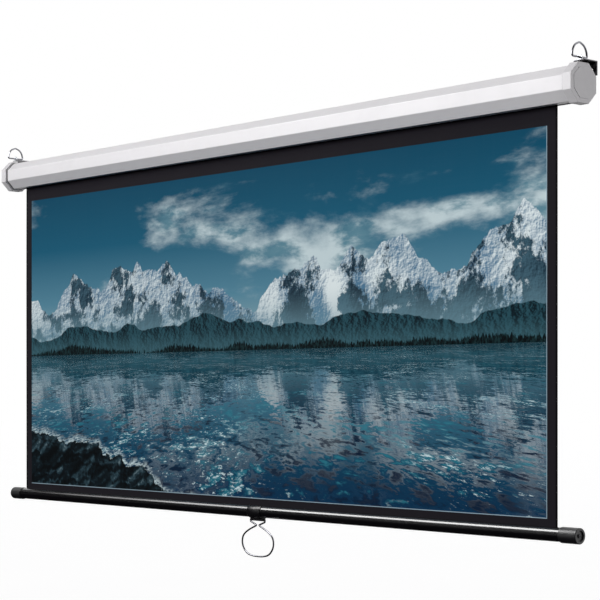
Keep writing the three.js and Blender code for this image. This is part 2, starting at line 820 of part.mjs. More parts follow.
function rollerGroup() {
  const roller = new THREE.Group();
  const tube = prism(ringShape(rollerRadius, rollerBore), -rollerEnd, rollerEnd);
  roller.add(piece("roller_tube", tube, "zincSteel"));
  const wraps = prism(ringShape(wrapOuter, wrapInner), -fabricEdge, fabricEdge);
  roller.add(piece("fabric_wraps", wraps, "blackFabric"));
  const idle = new THREE.Group();
  idle.scale.x = -1;
  idle.add(piece("idle_plug", idlePlug(), "naturalPlastic"));
  idle.add(piece("idle_pin", idlePin(), "zincSteel"));
  idle.add(piece("idle_bush", idleBush(), "blackPlastic"));
  roller.add(idle);
  roller.add(piece("drive_plug", drivePlug(), "naturalPlastic"));
  roller.add(piece("arbor_bush", arborBush(), "blackPlastic"));
  roller.add(piece("spring_arbor", arbor(), "zincSteel"));
  roller.add(piece("spring_anchor", springAnchor(), "naturalPlastic"));
  roller.add(piece("anchor_pin", anchorPin(), "springSteel"));
  roller.add(piece("torsion_spring", torsionSpring(), "springSteel"));
  roller.add(piece("ratchet_wheel", ratchetWheel(), "zincSteel"));
  for (let number = 1; number <= pawlCount; number++) {
    const turn = (360 / pawlCount) * (number - 1);
    const [y, z] = polar(pawlPivotRadius, turn);
    const pawl = piece("pawl_" + number, pawlShape(turn), "zincSteel");
    const pin = piece("pawl_pin_" + number, pawlPin(), "springSteel");
    pawl.position.set(0, y, z);
    pin.position.set(0, y, z);
    roller.add(pawl, pin);
  }
  roller.position.y = rollerY;
  return roller;
}

// Bottom bar

function saddleScrewHoles(middle, face) {
  const radius = saddleScrew.shank + seatGap;
  const left = drillAlongY(radius, 0, face, middle - saddleScrewSpan / 2, 0);
  return left.add(drillAlongY(radius, 0, face, middle + saddleScrewSpan / 2, 0));
}

function barTube() {
  const halfMouth = Math.asin(barSlotWidth / 2 / barRadius);
  const innerMouth = Math.asin(barSlotWidth / 2 / barInnerRadius);
  const top = Math.PI / 2;
  const section = new THREE.Shape();
  section.absarc(0, 0, barRadius, top + halfMouth, top + 2 * Math.PI - halfMouth);
  section.absarc(0, 0, barInnerRadius, top - innerMouth, top - 2 * Math.PI + innerMouth, true);
  const tube = prism(section, -barTubeEnd, barTubeEnd);
  return tube.subtract(saddleScrewHoles(pullOffset, barRadius));
}

function barPlug() {
  const from = barTubeEnd - barPlugDepth;
  const body = prism(disc(barInnerRadius - seatGap), from, barTubeEnd);
  return body.subtract(drill(barCapScrew.shank + seatGap, from, barTubeEnd, 0, 0));
}

function barCap() {
  const outer = barRadius + seatGap + barCapWall;
  const body = turned([
    [0, barCapInner],
    [outer, barCapInner],
    [outer, barEnd - barCapEdge],
    [outer - barCapEdge, barEnd],
    [barCapRecessRadius, barEnd],
    [barCapRecessRadius, barCapFloor],
    [0, barCapFloor],
  ]);
  const socket = prism(disc(barRadius + seatGap), barCapInner - cutOverrun, barTubeEnd + seatGap);
  const screwHole = drill(barCapScrew.shank + seatGap, barTubeEnd, barEnd, 0, 0);
  return body.subtract(socket).subtract(screwHole);
}

function pullSaddle() {
  const half = saddleLength / 2;
  const band = prism(ringShape(saddleOuter, saddleInner), -half, half);
  const mouth = polygon([
    [0, 0],
    polar(2 * saddleOuter, 90 - saddleMouthHalfAngle),
    polar(2 * saddleOuter, 90 + saddleMouthHalfAngle),
  ]);
  const boss = prism(disc(saddleBossRadius, 0, -saddleBossDrop), -half, half, smallSides);
  const web = block([-half, -saddleBossRadius, -saddleBossDrop], [half, saddleBossRadius, 0]);
  const bore = prism(disc(saddleInner), -half - cutOverrun, half + cutOverrun);
  const pinHole = disc(wireRadius + runningGap, 0, -saddleBossDrop);
  const pinFloor = half - ringPinDepth - seatGap;
  return band
    .subtract(prism(mouth, -half - cutOverrun, half + cutOverrun))
    .add(boss.add(web).subtract(bore))
    .subtract(prism(pinHole, pinFloor, half + cutOverrun, smallSides))
    .subtract(prism(pinHole, -half - cutOverrun, -pinFloor, smallSides))
    .subtract(saddleScrewHoles(0, saddleOuter));
}

// The ring's wire goes from the left pin hole, down to the neck, round the loop and back up.
function pullRing() {
  const side = saddleLength / 2 + ringSideRoom;
  const half = [
    [saddleLength / 2 - ringPinDepth, 0],
    [side, 0, ringBend],
    [side, -ringKneeDrop, ringBend],
    [ringNeckHalfWidth, -ringNeckDrop, ringNeckBend],
    ...ringLoopShares.map(([x, z]) => [x * ringHalfWidth, -z * ringDrop]),
  ];
  const mirrored = half.map(([x, z, bend]) => [-x, z, bend]);
  return bentWire([...mirrored, ...half.reverse()], ringSteps);
}

function barGroup() {
  const bar = new THREE.Group();
  bar.add(piece("bar_tube", barTube(), "blackEnamel"));
  const rod = prism(disc(hemRodRadius, 0, hemZ), -fabricEdge, fabricEdge, smallSides);
  bar.add(piece("hem_rod", rod, "zincSteel"));
  const hemTube = prism(ringShape(hemWrapOuter, hemWrapInner), -fabricEdge, fabricEdge);
  const hem = piece("hem_wrap", hemTube, "blackFabric");
  hem.position.z = hemZ;
  bar.add(hem);
  for (const side of ["left", "right"]) {
    const end = new THREE.Group();
    end.scale.x = side === "left" ? -1 : 1;
    end.add(piece("bar_plug_" + side, barPlug(), "naturalPlastic"));
    end.add(piece("bar_cap_" + side, barCap(), "blackPlastic"));
    end.add(screwAt("bar_cap_screw_" + side, barCapScrew, [barCapFloor + seatGap, 0, 0], [0, 0, 0], "blackenedSteel"));
    bar.add(end);
  }
  const pull = new THREE.Group();
  pull.position.x = pullOffset;
  pull.add(piece("pull_saddle", pullSaddle(), "blackPlastic"));
  for (const [index, side] of ["left", "right"].entries()) {
    const x = (index - 1 / 2) * saddleScrewSpan;
    const seat = [x, saddleOuter + seatGap, 0];
    pull.add(screwAt("saddle_screw_" + side, saddleScrew, seat, [0, 0, Math.PI / 2]));
  }
  const ring = piece("pull_ring", pullRing(), "chromeWire");
  ring.position.z = -saddleBossDrop;
  pull.add(ring);
  bar.add(pull);
  bar.position.set(0, barY, barZ);
  return bar;
}

// Hanging bails

function bailCorners() {
  const arch = bailArchShares.map(([x, z]) => [x * bailHalfWidth, z * bailHeight]);
  const left = arch.map(([x, z]) => [-x, z]).reverse();
  const butt = bailHalfWidth * bailButtPlaceShare;
  return [
    [butt + bailButtGap / 2, 0],
    [bailHalfWidth, 0, bailCornerBend],
    ...arch,
    [0, bailHeight, bailApexBend],
    ...left,
    [-bailHalfWidth, 0, bailCornerBend],
    [butt - bailButtGap / 2, 0],
  ];
}

const bailWire = bentWire(bailCorners(), bailSteps);
bailWire.computeBoundingBox();
const hookHeight = bailWire.boundingBox.max.z - 2 * wireRadius;

function hangingBail(side) {
  const bail = piece("hanging_bail_" + side, bailWire.clone(), "chromeWire");
  const middle = sheetThickness / 2 - topFlangeLead;
  bail.position.set(side === "left" ? springEndRoom - flangeMiddle : flangeMiddle, middle, tabHoleZ);
  bail.rotation.z = Math.PI / 2;
  return bail;
}

function screen() {
  const whole = new THREE.Group();
  const idleBushHole = idlePinRadius + runningGap + idleBushWall + seatGap;
  const idleHole = drill(idleBushHole, plateInner, plateOuter, rollerY, 0, roundSides);
  whole.add(piece("case_shell", caseShell(), "whiteEnamel"));
  whole.add(caseEndGroup("left", idleHole));
  whole.add(caseEndGroup("right", tangHole()));
  whole.add(piece("projection_fabric", projectionFabric(), "printedFabric"));
  whole.add(rollerGroup());
  whole.add(barGroup());
  whole.add(hangingBail("left"), hangingBail("right"));
  whole.position.set(-springEndRoom / 2, 0, -(tabHoleZ + hookHeight));
  const part = new THREE.Group();
  part.add(whole);
  return part;
}

export default screen();
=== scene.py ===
"""Looks of a pull-down projection screen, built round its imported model.

Metres. +X is to the right seen from the front, +Y points to the wall and +Z is up.
The origin is halfway between the two hook points.
"""

import math

import bmesh
import bpy
import numpy as np
from bpy.props import BoolProperty, FloatProperty, FloatVectorProperty, IntProperty, PointerProperty
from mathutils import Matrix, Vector


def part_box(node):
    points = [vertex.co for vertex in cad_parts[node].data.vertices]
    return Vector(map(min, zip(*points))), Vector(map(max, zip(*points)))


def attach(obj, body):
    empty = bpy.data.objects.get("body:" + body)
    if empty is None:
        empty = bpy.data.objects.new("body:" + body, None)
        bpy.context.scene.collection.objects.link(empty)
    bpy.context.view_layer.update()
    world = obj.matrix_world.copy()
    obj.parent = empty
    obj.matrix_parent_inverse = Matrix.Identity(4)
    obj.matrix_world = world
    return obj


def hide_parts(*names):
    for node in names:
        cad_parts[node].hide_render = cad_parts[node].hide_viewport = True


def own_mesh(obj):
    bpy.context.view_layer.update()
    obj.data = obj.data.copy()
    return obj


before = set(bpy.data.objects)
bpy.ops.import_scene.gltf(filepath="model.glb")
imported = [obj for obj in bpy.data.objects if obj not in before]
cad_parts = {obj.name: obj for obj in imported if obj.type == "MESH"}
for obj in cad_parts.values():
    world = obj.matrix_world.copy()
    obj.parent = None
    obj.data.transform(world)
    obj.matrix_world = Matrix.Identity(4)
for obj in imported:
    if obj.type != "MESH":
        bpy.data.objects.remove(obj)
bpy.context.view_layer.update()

bl_info = {
    "name": "Pull-down projection screen",
    "version": (1, 0, 0),
    "blender": (4, 5, 0),
    "location": "3D View > Sidebar > Screen",
    "description": "Adds the pieces, finishes and studio of a pull-down projection screen",
    "category": "Object",
}

MM = 0.001
FINISH = "_finish"
THREAD = 0.9 * MM  # from one thread of the fabric to the next
WHITE = (1, 1, 1, 1)


def span(node):
    """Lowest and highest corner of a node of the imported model, as arrays."""
    low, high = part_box(node)
    return np.array(low), np.array(high)


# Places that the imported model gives
CASE_LOW, CASE_HIGH = span("case_shell")
FABRIC_LOW, FABRIC_HIGH = span("projection_fabric")
BAR_LOW, BAR_HIGH = span("bar_tube")
CAP_LOW, CAP_HIGH = span("end_cap_right")
BAR_CAP_LOW, BAR_CAP_HIGH = span("bar_cap_right")
SADDLE_LOW, SADDLE_HIGH = span("pull_saddle")
WRAPS_LOW, WRAPS_HIGH = span("fabric_wraps")
HEM_LOW, HEM_HIGH = span("hem_wrap")
RING_LOW, RING_HIGH = span("pull_ring")
BAIL_LOW, BAIL_HIGH = span("hanging_bail_right")
CASE_Z = (CASE_LOW[2] + CASE_HIGH[2]) / 2
BAR_Y = (BAR_LOW[1] + BAR_HIGH[1]) / 2
BAR_Z = (BAR_CAP_LOW[2] + BAR_CAP_HIGH[2]) / 2


def amount(name, description, default, unit="NONE"):
    return FloatProperty(name=name, description=description, default=default, unit=unit)


def length(name, description, millimetres):
    """A length property whose default is given in millimetres."""
    return amount(name, description, millimetres * MM, "LENGTH")


def whole(name, description, default, least):
    return IntProperty(name=name, description=description, default=default, min=least)


def ink(red, green, blue):
    """A colour given in the 0 to 255 of a screen, as linear light."""
    share = np.array([red, green, blue]) / 255
    linear = np.where(share > 0.04045, ((share + 0.055) / 1.055) ** 2.4, share / 12.92)
    return (*linear.tolist(), 1.0)


def hue(name, description, rgb):
    """A colour property whose default is given in the 0 to 255 of a screen."""
    kind = {"subtype": "COLOR", "size": 3, "min": 0, "max": 1}
    return FloatVectorProperty(name=name, description=description, default=ink(*rgb)[:3], **kind)


class ScreenSizes(bpy.types.PropertyGroup):
    """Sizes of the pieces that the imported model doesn't give as a whole."""

    shell_wall: length("Case wall", "Thickness of the case's sheet", 1)
    shell_corner: length("Case corner", "Outer radius of the case's bends", 2.5)
    slot_front: length("Slot front", "Front edge of the slot behind the case's middle", 1.5)
    slot_width: length("Slot width", "Width of the slot in the case's underside", 8)
    slot_lip: length("Slot lip", "Height of the lips folded up beside the slot", 3)
    wire_radius: length("Wire radius", "Radius of the bails' and the ring's wire", 2)
    bar_radius: length("Bar radius", "Outer radius of the bottom bar", 14)
    bar_slot: length("Bar groove", "Width of the groove along the bar's top", 2.6)
    side_border: length("Side border", "Black border beside the picture", 25.5)
    top_border: length("Top border", "Black border between the case and the picture", 35.5)
    picture_height: length("Picture height", "Height of the picture area", 747)
    selvedge: length("Selvedge", "Width of the blacker edge at each side of the fabric", 5)
    margin: length("Pale margin", "Unprinted line along the picture's right edge and foot", 1.7)
    hem_allowance: length("Hidden fabric", "Length of fabric on the roller and round the hem rod", 225)
    tautness: length("Slack", "How far the taut fabric waves to the front and back", 0.35)
    wire_sides: whole("Wire sides", "Faces round a wire", 20, 8)
    round_sides: whole("Round sides", "Faces round a turned piece", 72, 16)
    show_picture: BoolProperty(
        name="Show picture", description="Print the lake on the fabric, or leave it white", default=True
    )


class ScreenColours(bpy.types.PropertyGroup):
    """Colours of the finishes."""

    enamel: hue("White enamel", "Baked enamel of the case", (237, 235, 238))
    cap_plastic: hue("Light grey plastic", "Moulded end caps of the case", (226, 224, 227))
    plated: hue("Zinc plate", "Zinc on screws, roller and rods", (198, 200, 204))
    # The brackets' dark coat is painted shade: it stands in for the shadow in the pocket behind each end cap
    # and in the groove at the left end.
    bracket: hue("Bracket steel", "Dark coat of the end brackets", (120, 119, 122))
    blackened: hue("Black oxide", "Screws of the bar's caps", (74, 73, 76))
    chrome: hue("Chrome", "Plating of the bails and the ring", (150, 150, 156))
    spring: hue("Spring steel", "Spring, pins and pawl pins", (122, 124, 130))
    bar: hue("Black enamel", "Gloss enamel of the bottom bar", (8, 7, 10))
    black_plastic: hue("Black plastic", "Plugs and bushes", (27, 26, 29))
    cup_plastic: hue("Cup plastic", "Caps of the bottom bar", (15, 14, 17))
    clip_plastic: hue("Clip plastic", "Clip that holds the ring", (12, 11, 14))
    nylon: hue("Natural nylon", "Roller plugs and the spring's anchor", (228, 224, 210))
    border: hue("Fabric black", "Black borders and back of the fabric", (29, 27, 32))


class StudioSettings(bpy.types.PropertyGroup):
    """The studio's lamps and background."""

    floor_drop: amount("Floor", "Depth of the floor under the hooks", 2.0, "LENGTH")
    key_strength: amount("Key", "Strength of the soft key light", 2.95)
    fill_power: amount("Side fill", "Power of the lamp at the right", 12.5, "POWER")
    back_power: amount("Back fill", "Power of the lamp behind", 110.0, "POWER")
    strip_power: amount("Strip", "Power of the long softbox that shows in gloss", 58.0, "POWER")
    sky_light: amount("Sky", "Strength of the light from all round", 0.12)


# Surfaces: grids of points, joined by quads into closed shells


def unit(vector):
    return vector / np.linalg.norm(vector)


def arc(angles, radius=1.0, middle=(0, 0)):
    """The middle plus the radius times each angle's cosine and sine. The radius may change with the angle."""
    return middle + np.reshape(radius, (-1, 1)) * np.stack([np.cos(angles), np.sin(angles)], -1)


def circle(sides):
    return arc(np.arange(sides) * 2 * math.pi / sides)


def turn_corner(corner, before, after, radius, steps, guard):
    """Points of an arc that touches both legs of a corner, with one more point on each leg beyond it.

    The arc's centre lies on the corner's bisector, at the radius over the sine of half the angle.
    """
    back, ahead = unit(before - corner), unit(after - corner)
    half = math.acos(np.clip(back @ ahead, -1, 1)) / 2
    reach = radius / math.tan(half)
    centre = corner + unit(back + ahead) * radius / math.sin(half)
    turn = math.pi - 2 * half
    share = np.linspace(0, 1, steps + 1)[:, None]
    first, last = corner + back * reach - centre, corner + ahead * reach - centre
    bend = centre + (np.sin((1 - share) * turn) * first + np.sin(share * turn) * last) / math.sin(turn)
    return np.vstack([corner + back * (reach + guard), bend, corner + ahead * (reach + guard)])


def rounded(corners, steps=5, guard=0.3 * MM):
    """A polyline through corners of (a, b, radius), each turned by an arc. Its two ends stay sharp."""
    points = np.array([corner[:2] for corner in corners], float)
    bends = [
        turn_corner(points[i], points[i - 1], points[i + 1], corners[i][2], steps, guard)
        for i in range(1, len(points) - 1)
    ]
    return np.vstack([points[:1], *bends, points[-1:]])


def octagon(apothem, radius, steps=6):
    """A loop of eight flats at the apothem from the middle, with an arc of the radius at each corner."""
    radius = min(radius, 0.8 * apothem)
    corners = arc((2 * np.arange(8) + 1) * math.pi / 8, apothem / math.cos(math.pi / 8))
    guard = min(0.3 * MM, 0.4 * (apothem - radius) * math.tan(math.pi / 8))
    legs = zip(corners, np.roll(corners, 1, axis=0), np.roll(corners, -1, axis=0))
    return np.vstack([turn_corner(*leg, radius, steps, guard) for leg in legs])


def skin(points, ends="fan"):
    """Quads between neighbouring rows of a grid, closed round each row.

    The first and last rows are closed by triangles to their middle (fan), or by quads
    between the two halves of the row (ladder), which suits a strip's section.
    """
    rows, columns = points.shape[:2]
    index = np.arange(rows * columns).reshape(rows, columns)
    following = np.roll(index, -1, axis=1)
    quads = np.stack([index[:-1], following[:-1], following[1:], index[1:]], -1).reshape(-1, 4)
    flat = points.reshape(-1, 3)
    triangles = np.zeros((0, 3), int)
    if ends == "fan":
        middles = points[[0, -1]].mean(axis=1)
        first, last = len(flat), len(flat) + 1
        flat = np.vstack([flat, middles])
        foot = np.stack([following[0], index[0], np.full(columns, first)], -1)
        head = np.stack([index[-1], following[-1], np.full(columns, last)], -1)
        triangles = np.vstack([foot, head])
    else:
        step = np.arange(columns // 2 - 1)
        rungs = np.stack([step, step + 1, columns - 2 - step, columns - 1 - step], -1)
        quads = np.vstack([quads, index[0][rungs][:, ::-1], index[-1][rungs]])
    return outward(flat, quads, triangles)


def outward(points, quads, triangles):
    """The shell with its faces turned out: the sum of its triangles' signed volumes is positive."""
    split = np.vstack([quads[:, [0, 1, 2]], quads[:, [0, 2, 3]], triangles])
    a, b, c = (points[split[:, i]] for i in range(3))
    volume = np.einsum("ij,ij->i", a, np.cross(b, c)).sum()
    if volume < 0:
        quads, triangles = quads[:, ::-1], triangles[:, ::-1]
    return points, quads, triangles


def along_x(section, stations):
    """A section of (y, z) repeated at each station of X."""
    grid = np.empty((len(stations), len(section), 3))
    grid[..., 0] = np.asarray(stations)[:, None]
    grid[..., 1:] = section
    return grid


def strip(path, thickness):
    """The section of a sheet bent along a path: the path moved out and in by half the thickness.

    Each point moves along the mean of its legs' normals, by one over the cosine of half the turn.
    """
    legs = np.diff(path, axis=0)
    legs /= np.linalg.norm(legs, axis=1)[:, None]
    normals = np.stack([-legs[:, 1], legs[:, 0]], -1)
    at_points = np.vstack([normals[:1], normals[:-1] + normals[1:], normals[-1:]])
    at_points /= np.linalg.norm(at_points, axis=1)[:, None]
    stretch = np.einsum("ij,ij->i", at_points, np.vstack([normals[:1], normals]))[:, None]
    offset = at_points / stretch * thickness / 2
    return np.vstack([path + offset, (path - offset)[::-1]])


def bent_sheet(path, thickness, stations):
    """A sheet bent along a path of (y, z) and carried along X."""
    return skin(along_x(strip(path, thickness), stations), "ladder")


def lathe(profile, y, z, sides):
    """A grid of points: a profile of (x, radius) turned about a line along X through (y, z)."""
    around = circle(sides)
    grid = np.empty((len(profile), sides, 3))
    grid[..., 0] = profile[:, :1]
    grid[..., 1] = y + profile[:, 1:] * around[:, 0]
    grid[..., 2] = z + profile[:, 1:] * around[:, 1]
    return grid


def turned_open(profile, y, z, sides):
    """A closed profile turned into a ring with a hole: its last row meets its first."""
    grid = lathe(profile, y, z, sides)
    index = np.arange(grid.shape[0] * sides).reshape(-1, sides)
    below, beside = np.roll(index, -1, axis=0), np.roll(index, -1, axis=1)
    quads = np.stack([index, beside, np.roll(below, -1, axis=1), below], -1).reshape(-1, 4)
    return outward(grid.reshape(-1, 3), quads, np.zeros((0, 3), int))


def eight_sided(profile, z, radius):
    """A profile of (x, apothem) carried round an octagon with rounded corners, about a line along X."""
    grid = np.stack([along_x(octagon(apothem, radius), [x])[0] for x, apothem in profile])
    grid[..., 2] += z
    return skin(grid)


def mirrored(shell, middle=0.0):
    """The shell's mirror image in the plane across X at the middle."""
    points, quads, triangles = shell
    return outward(points * [-1, 1, 1] + [2 * middle, 0, 0], quads, triangles)


def wire_path(corners, steps=9):
    """The middle line of a bent wire through corners of (across, up, bend), given in millimetres.

    Each bend is a parabola that leaves and meets the legs at the bend's length from the corner,
    at most half of either leg.
    """
    corners = np.array(corners, float) * MM
    points = corners[:, :2]
    share = np.linspace(0, 1, steps + 1)[:, None]
    line = [points[:1]]
    for i in range(1, len(points) - 1):
        back, ahead = points[i - 1] - points[i], points[i + 1] - points[i]
        lengths = np.linalg.norm(back), np.linalg.norm(ahead)
        bend = min(corners[i][2], lengths[0] / 2, lengths[1] / 2)
        start, end = points[i] + back / lengths[0] * bend, points[i] + ahead / lengths[1] * bend
        curve = (1 - share) ** 2 * start + 2 * share * (1 - share) * points[i] + share**2 * end
        line.append(curve)
    line.append(points[-1:])
    path = np.vstack(line)
    apart = np.linalg.norm(np.diff(path, axis=0), axis=1) > 1e-7
    return path[np.concatenate([[True], apart])]


def wire(path, radius, place, sides, run=0):
    """A round wire whose middle line lies in a plane of Z and X (run 0) or of Z and Y (run 1).

    Across each point of the path stands a circle: the radius times the cosine along the
    path's normal and times the sine square to the plane. Each end is a quarter ellipse.
    """
    tangent = np.gradient(path, axis=0)
    tangent /= np.linalg.norm(tangent, axis=1)[:, None]
    lean = np.linspace(0.35, 1, 4)[:-1] * math.pi / 2
    shrink = np.concatenate([np.sin(lean), np.ones(len(path)), np.sin(lean)[::-1]])
    edge = radius / 3
    inset = edge * (1 - np.cos(lean))[:, None]
    inner = path.copy()
    inner[0] += tangent[0] * edge
    inner[-1] -= tangent[-1] * edge
    line = np.vstack([path[0] + tangent[0] * inset, inner, path[-1] - tangent[-1] * inset[::-1]])
    ends = len(lean)
    heading = np.vstack([np.repeat(tangent[:1], ends, 0), tangent, np.repeat(tangent[-1:], ends, 0)])
    normal = np.stack([-heading[:, 1], heading[:, 0]], -1)
    around = circle(sides)
    grid = np.empty((len(line), sides, 3))
    across = radius * shrink[:, None] * around[:, 0]
    grid[..., run] = place[run] + line[:, :1] + across * normal[:, :1]
    grid[..., 1 - run] = place[1 - run] + radius * shrink[:, None] * around[:, 1]
    grid[..., 2] = place[2] + line[:, 1:] + across * normal[:, 1:]
    return skin(grid)


def cross_reach(angles, half_width, reach):
    """How far a cross-shaped recess reaches at each angle: to an arm's end, or to its side."""
    small, large = np.sort(np.abs([np.cos(angles), np.sin(angles)]), axis=0)
    to_side = half_width / np.maximum(small, 1e-9)
    return np.where(reach * small / large <= half_width, reach / large, to_side)


def screw_grid(length, shank, head, height, sides=64):
    """A pan-head screw along X, its seat at 0 and its shank towards -X.

    The shank has rounded ridges: its radius swings by a cosine of X. The head's top is a
    quarter ellipse from its edge, and the cross in it is a polar outline let down to a floor.
    """
    around = circle(sides)
    pitch = 1.1 * MM
    ridge = np.linspace(-length + shank, -0.6 * MM, 60)
    shank_radius = shank * (0.93 + 0.07 * np.cos(ridge * 2 * math.pi / pitch))
    rise = np.linspace(0, 1, 9)
    dome = head * (0.55 + 0.45 * np.sqrt(1 - rise**2))
    top = height * (0.55 + 0.45 * rise)
    neck = [-0.3 * MM, 0, 0, 0.1 * MM]
    stations = np.concatenate([[-length, -length + shank * 0.9], ridge, neck, top])
    neck_radii = [shank, shank, head * 0.97, head]
    radii = np.concatenate([[0.2 * shank, 0.85 * shank], shank_radius, neck_radii, dome])
    rows = lathe(np.stack([stations, radii], -1), 0, 0, sides)
    outline = cross_reach(np.arange(sides) * 2 * math.pi / sides, head * 0.125, head * 0.55)
    recess = np.empty((3, sides, 3))
    for row, (share, depth) in enumerate(((1.0, 1.0), (0.92, 0.42), (0.4, 0.36))):
        recess[row, :, 0] = height * depth
        recess[row, :, 1:] = share * outline[:, None] * around
    return np.concatenate([rows, recess])


# Pieces


def finish_of(name):
    if name + FINISH not in bpy.data.materials:
        raise RuntimeError("make the finishes first: there is no " + name)
    return bpy.data.materials[name + FINISH]


def make_piece(name, shells, body, slot, node, crease=32, finish=None):
    """One object of closed shells in place of a node, in its slot's finish unless another is named."""
    points, faces, count = [], [], 0
    for shell_points, quads, triangles in shells:
        points.append(shell_points)
        faces += (quads + count).tolist() + (triangles + count).tolist()
        count += len(shell_points)
    mesh = bpy.data.meshes.new(name)
    mesh.from_pydata(np.vstack(points), [], faces)
    return finish_piece(name, mesh, body, slot, node, crease, finish)


def finish_piece(name, mesh, body, slot, node, crease=32, finish=None):
    """The mesh as a piece of its body. Edges that turn by more than the crease angle stay sharp."""
    mesh.shade_smooth()
    mesh.set_sharp_from_angle(angle=math.radians(crease))
    mesh.materials.clear()
    mesh.materials.append(finish_of(finish or slot))
    piece = bpy.data.objects.new(name, mesh)
    bpy.context.scene.collection.objects.link(piece)
    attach(piece, body)
    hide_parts(node)
    return piece


def merged_copy(node, name, body, slot, bevel):
    """A copy of a node with its loose triangles joined, its flats made whole and its edges bevelled."""
    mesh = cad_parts[node].data.copy()
    mesh.name = name
    work = bmesh.new()
    work.from_mesh(mesh)
    bmesh.ops.remove_doubles(work, verts=work.verts, dist=1e-6)
    bmesh.ops.dissolve_limit(
        work, angle_limit=math.radians(1), verts=work.verts, edges=work.edges, delimit={"NORMAL"}
    )
    work.to_mesh(mesh)
    work.free()
    piece = finish_piece(name, mesh, body, slot, node)
    edges = piece.modifiers.new("Edges", "BEVEL")
    edges.width = bevel
    edges.segments = 2
    edges.limit_method = "ANGLE"
    edges.angle_limit = math.radians(40)
    edges.harden_normals = True
    return piece


# Node trees


class Board:
    """Adds and links the nodes of one tree. A value may be a number, a colour or another node's output."""

    def __init__(self, tree):
        self.tree = tree

    def add(self, kind, values=(), **settings):
        node = self.tree.nodes.new(kind)
        for key, value in settings.items():
            setattr(node, key, value)
        return self.fill(node, values)

    def fill(self, node, values):
        """Set or link a node's inputs, given in their order or by their names."""
        for key, value in values.items() if isinstance(values, dict) else enumerate(values):
            socket = node.inputs[key]
            if isinstance(value, bpy.types.NodeSocket):
                self.tree.links.new(value, socket)
            elif value is not None:
                socket.default_value = value
        return node

    def sum(self, operation, a, b=None, c=None):
        return self.add("ShaderNodeMath", (a, b, c), operation=operation).outputs[0]

    def plus(self, a, b):
        return self.sum("ADD", a, b)

    def minus(self, a, b):
        return self.sum("SUBTRACT", a, b)

    def times(self, a, b):
        return self.sum("MULTIPLY", a, b)

    def line(self, a, slope, base):
        return self.sum("MULTIPLY_ADD", a, slope, base)

    def swing(self, noise, by, base):
        """How far a noise is from its middle value, times a number, added to a base."""
        return self.line(self.minus(noise, 0.5), by, base)

    def vector_sum(self, operation, a, b):
        return self.add("ShaderNodeVectorMath", (a, b), operation=operation).outputs[0]

    def parts(self, vector):
        return self.add("ShaderNodeSeparateXYZ", (vector,)).outputs

    def mix(self, share, a, b):
        return self.add("ShaderNodeMix", {0: share, 6: a, 7: b}, data_type="RGBA").outputs[2]

    def fade(self, value, low, high, to_low=0.0, to_high=1.0, smooth=True):
        values = (value, low, high, to_low, to_high)
        interpolation = "SMOOTHSTEP" if smooth else "LINEAR"
        return self.add("ShaderNodeMapRange", values, interpolation_type=interpolation).outputs[0]

    def ramp(self, value, stops):
        node = self.add("ShaderNodeValToRGB", (value,))
        elements = node.color_ramp.elements
        while len(elements) < len(stops):
            elements.new(0.5)
        for element, (place, rgb) in zip(elements, stops):
            element.position, element.color = place, ink(*rgb)
        return node.outputs[0]

    def noise(self, vector, scale, detail=2.0, roughness=0.5, distortion=0.0, **settings):
        values = {"Scale": scale, "Detail": detail, "Roughness": roughness, "Distortion": distortion}
        values["W" if settings.get("noise_dimensions") == "1D" else "Vector"] = vector
        return self.add("ShaderNodeTexNoise", values, **settings).outputs[0]

    def noise_1d(self, *values):
        return self.noise(*values, noise_dimensions="1D")

    def noise_2d(self, *values, **settings):
        return self.noise(*values, noise_dimensions="2D", **settings)

    def point(self, x, y, z=0.0):
        return self.add("ShaderNodeCombineXYZ", (x, y, z)).outputs[0]

    def stretch(self, vector, scale):
        return self.add("ShaderNodeMapping", {"Vector": vector, "Scale": scale}).outputs[0]

    def object_place(self):
        return self.add("ShaderNodeTexCoord").outputs["Object"]

    def group(self, name, values):
        return self.fill(self.add("ShaderNodeGroup", node_tree=bpy.data.node_groups[name]), values).outputs

    def seen(self):
        """1 for the rays of the camera, of mirrors and of glass, 0 for the rest."""
        path = self.add("ShaderNodeLightPath").outputs
        mirrored_too = self.sum("MAXIMUM", path["Is Camera Ray"], path["Is Glossy Ray"])
        return self.sum("MAXIMUM", mirrored_too, path["Is Transmission Ray"])


def make_group(name, inputs, outputs):
    """A shader node group. An input is a vector unless its default is one number.

    Returns its board, its inputs and its output node.
    """
    tree = bpy.data.node_groups.new(name, "ShaderNodeTree")
    for label, default in inputs.items():
        kind = "NodeSocketFloat" if isinstance(default, float) else "NodeSocketVector"
        socket = tree.interface.new_socket(name=label, in_out="INPUT", socket_type=kind)
        if default is not None:
            socket.default_value = default
    for label in outputs:
        kind = "NodeSocketColor" if label == "Colour" else "NodeSocketFloat"
        tree.interface.new_socket(name=label, in_out="OUTPUT", socket_type=kind)
    return Board(tree), tree.nodes.new("NodeGroupInput").outputs, tree.nodes.new("NodeGroupOutput")


def baked_enamel_group():
    """Orange peel of a sprayed enamel, its uneven gloss, and dust that settles in soft patches."""
    inputs = {"Place": None, "Peel Size": 420.0, "Roughness": 0.4, "Spread": 0.1, "Dust": 0.1}
    board, given, out = make_group("baked_enamel", inputs, ("Height", "Roughness", "Dust Mask"))
    place, dust = given["Place"], given["Dust"]
    peel = board.noise(place, given["Peel Size"], 3, 0.45)
    patches = board.noise(place, 14.0, 5, 0.6)
    specks = board.fade(board.noise(place, 2600.0, 1, 0.5), 0.66, 0.78)
    dusty = board.times(board.fade(patches, 0.45, 0.75), dust)
    mask = board.line(specks, board.times(dust, 0.5), dusty)
    rough = board.swing(patches, given["Spread"], given["Roughness"])
    board.fill(out, {"Height": peel, "Roughness": board.line(mask, 0.3, rough), "Dust Mask": mask})


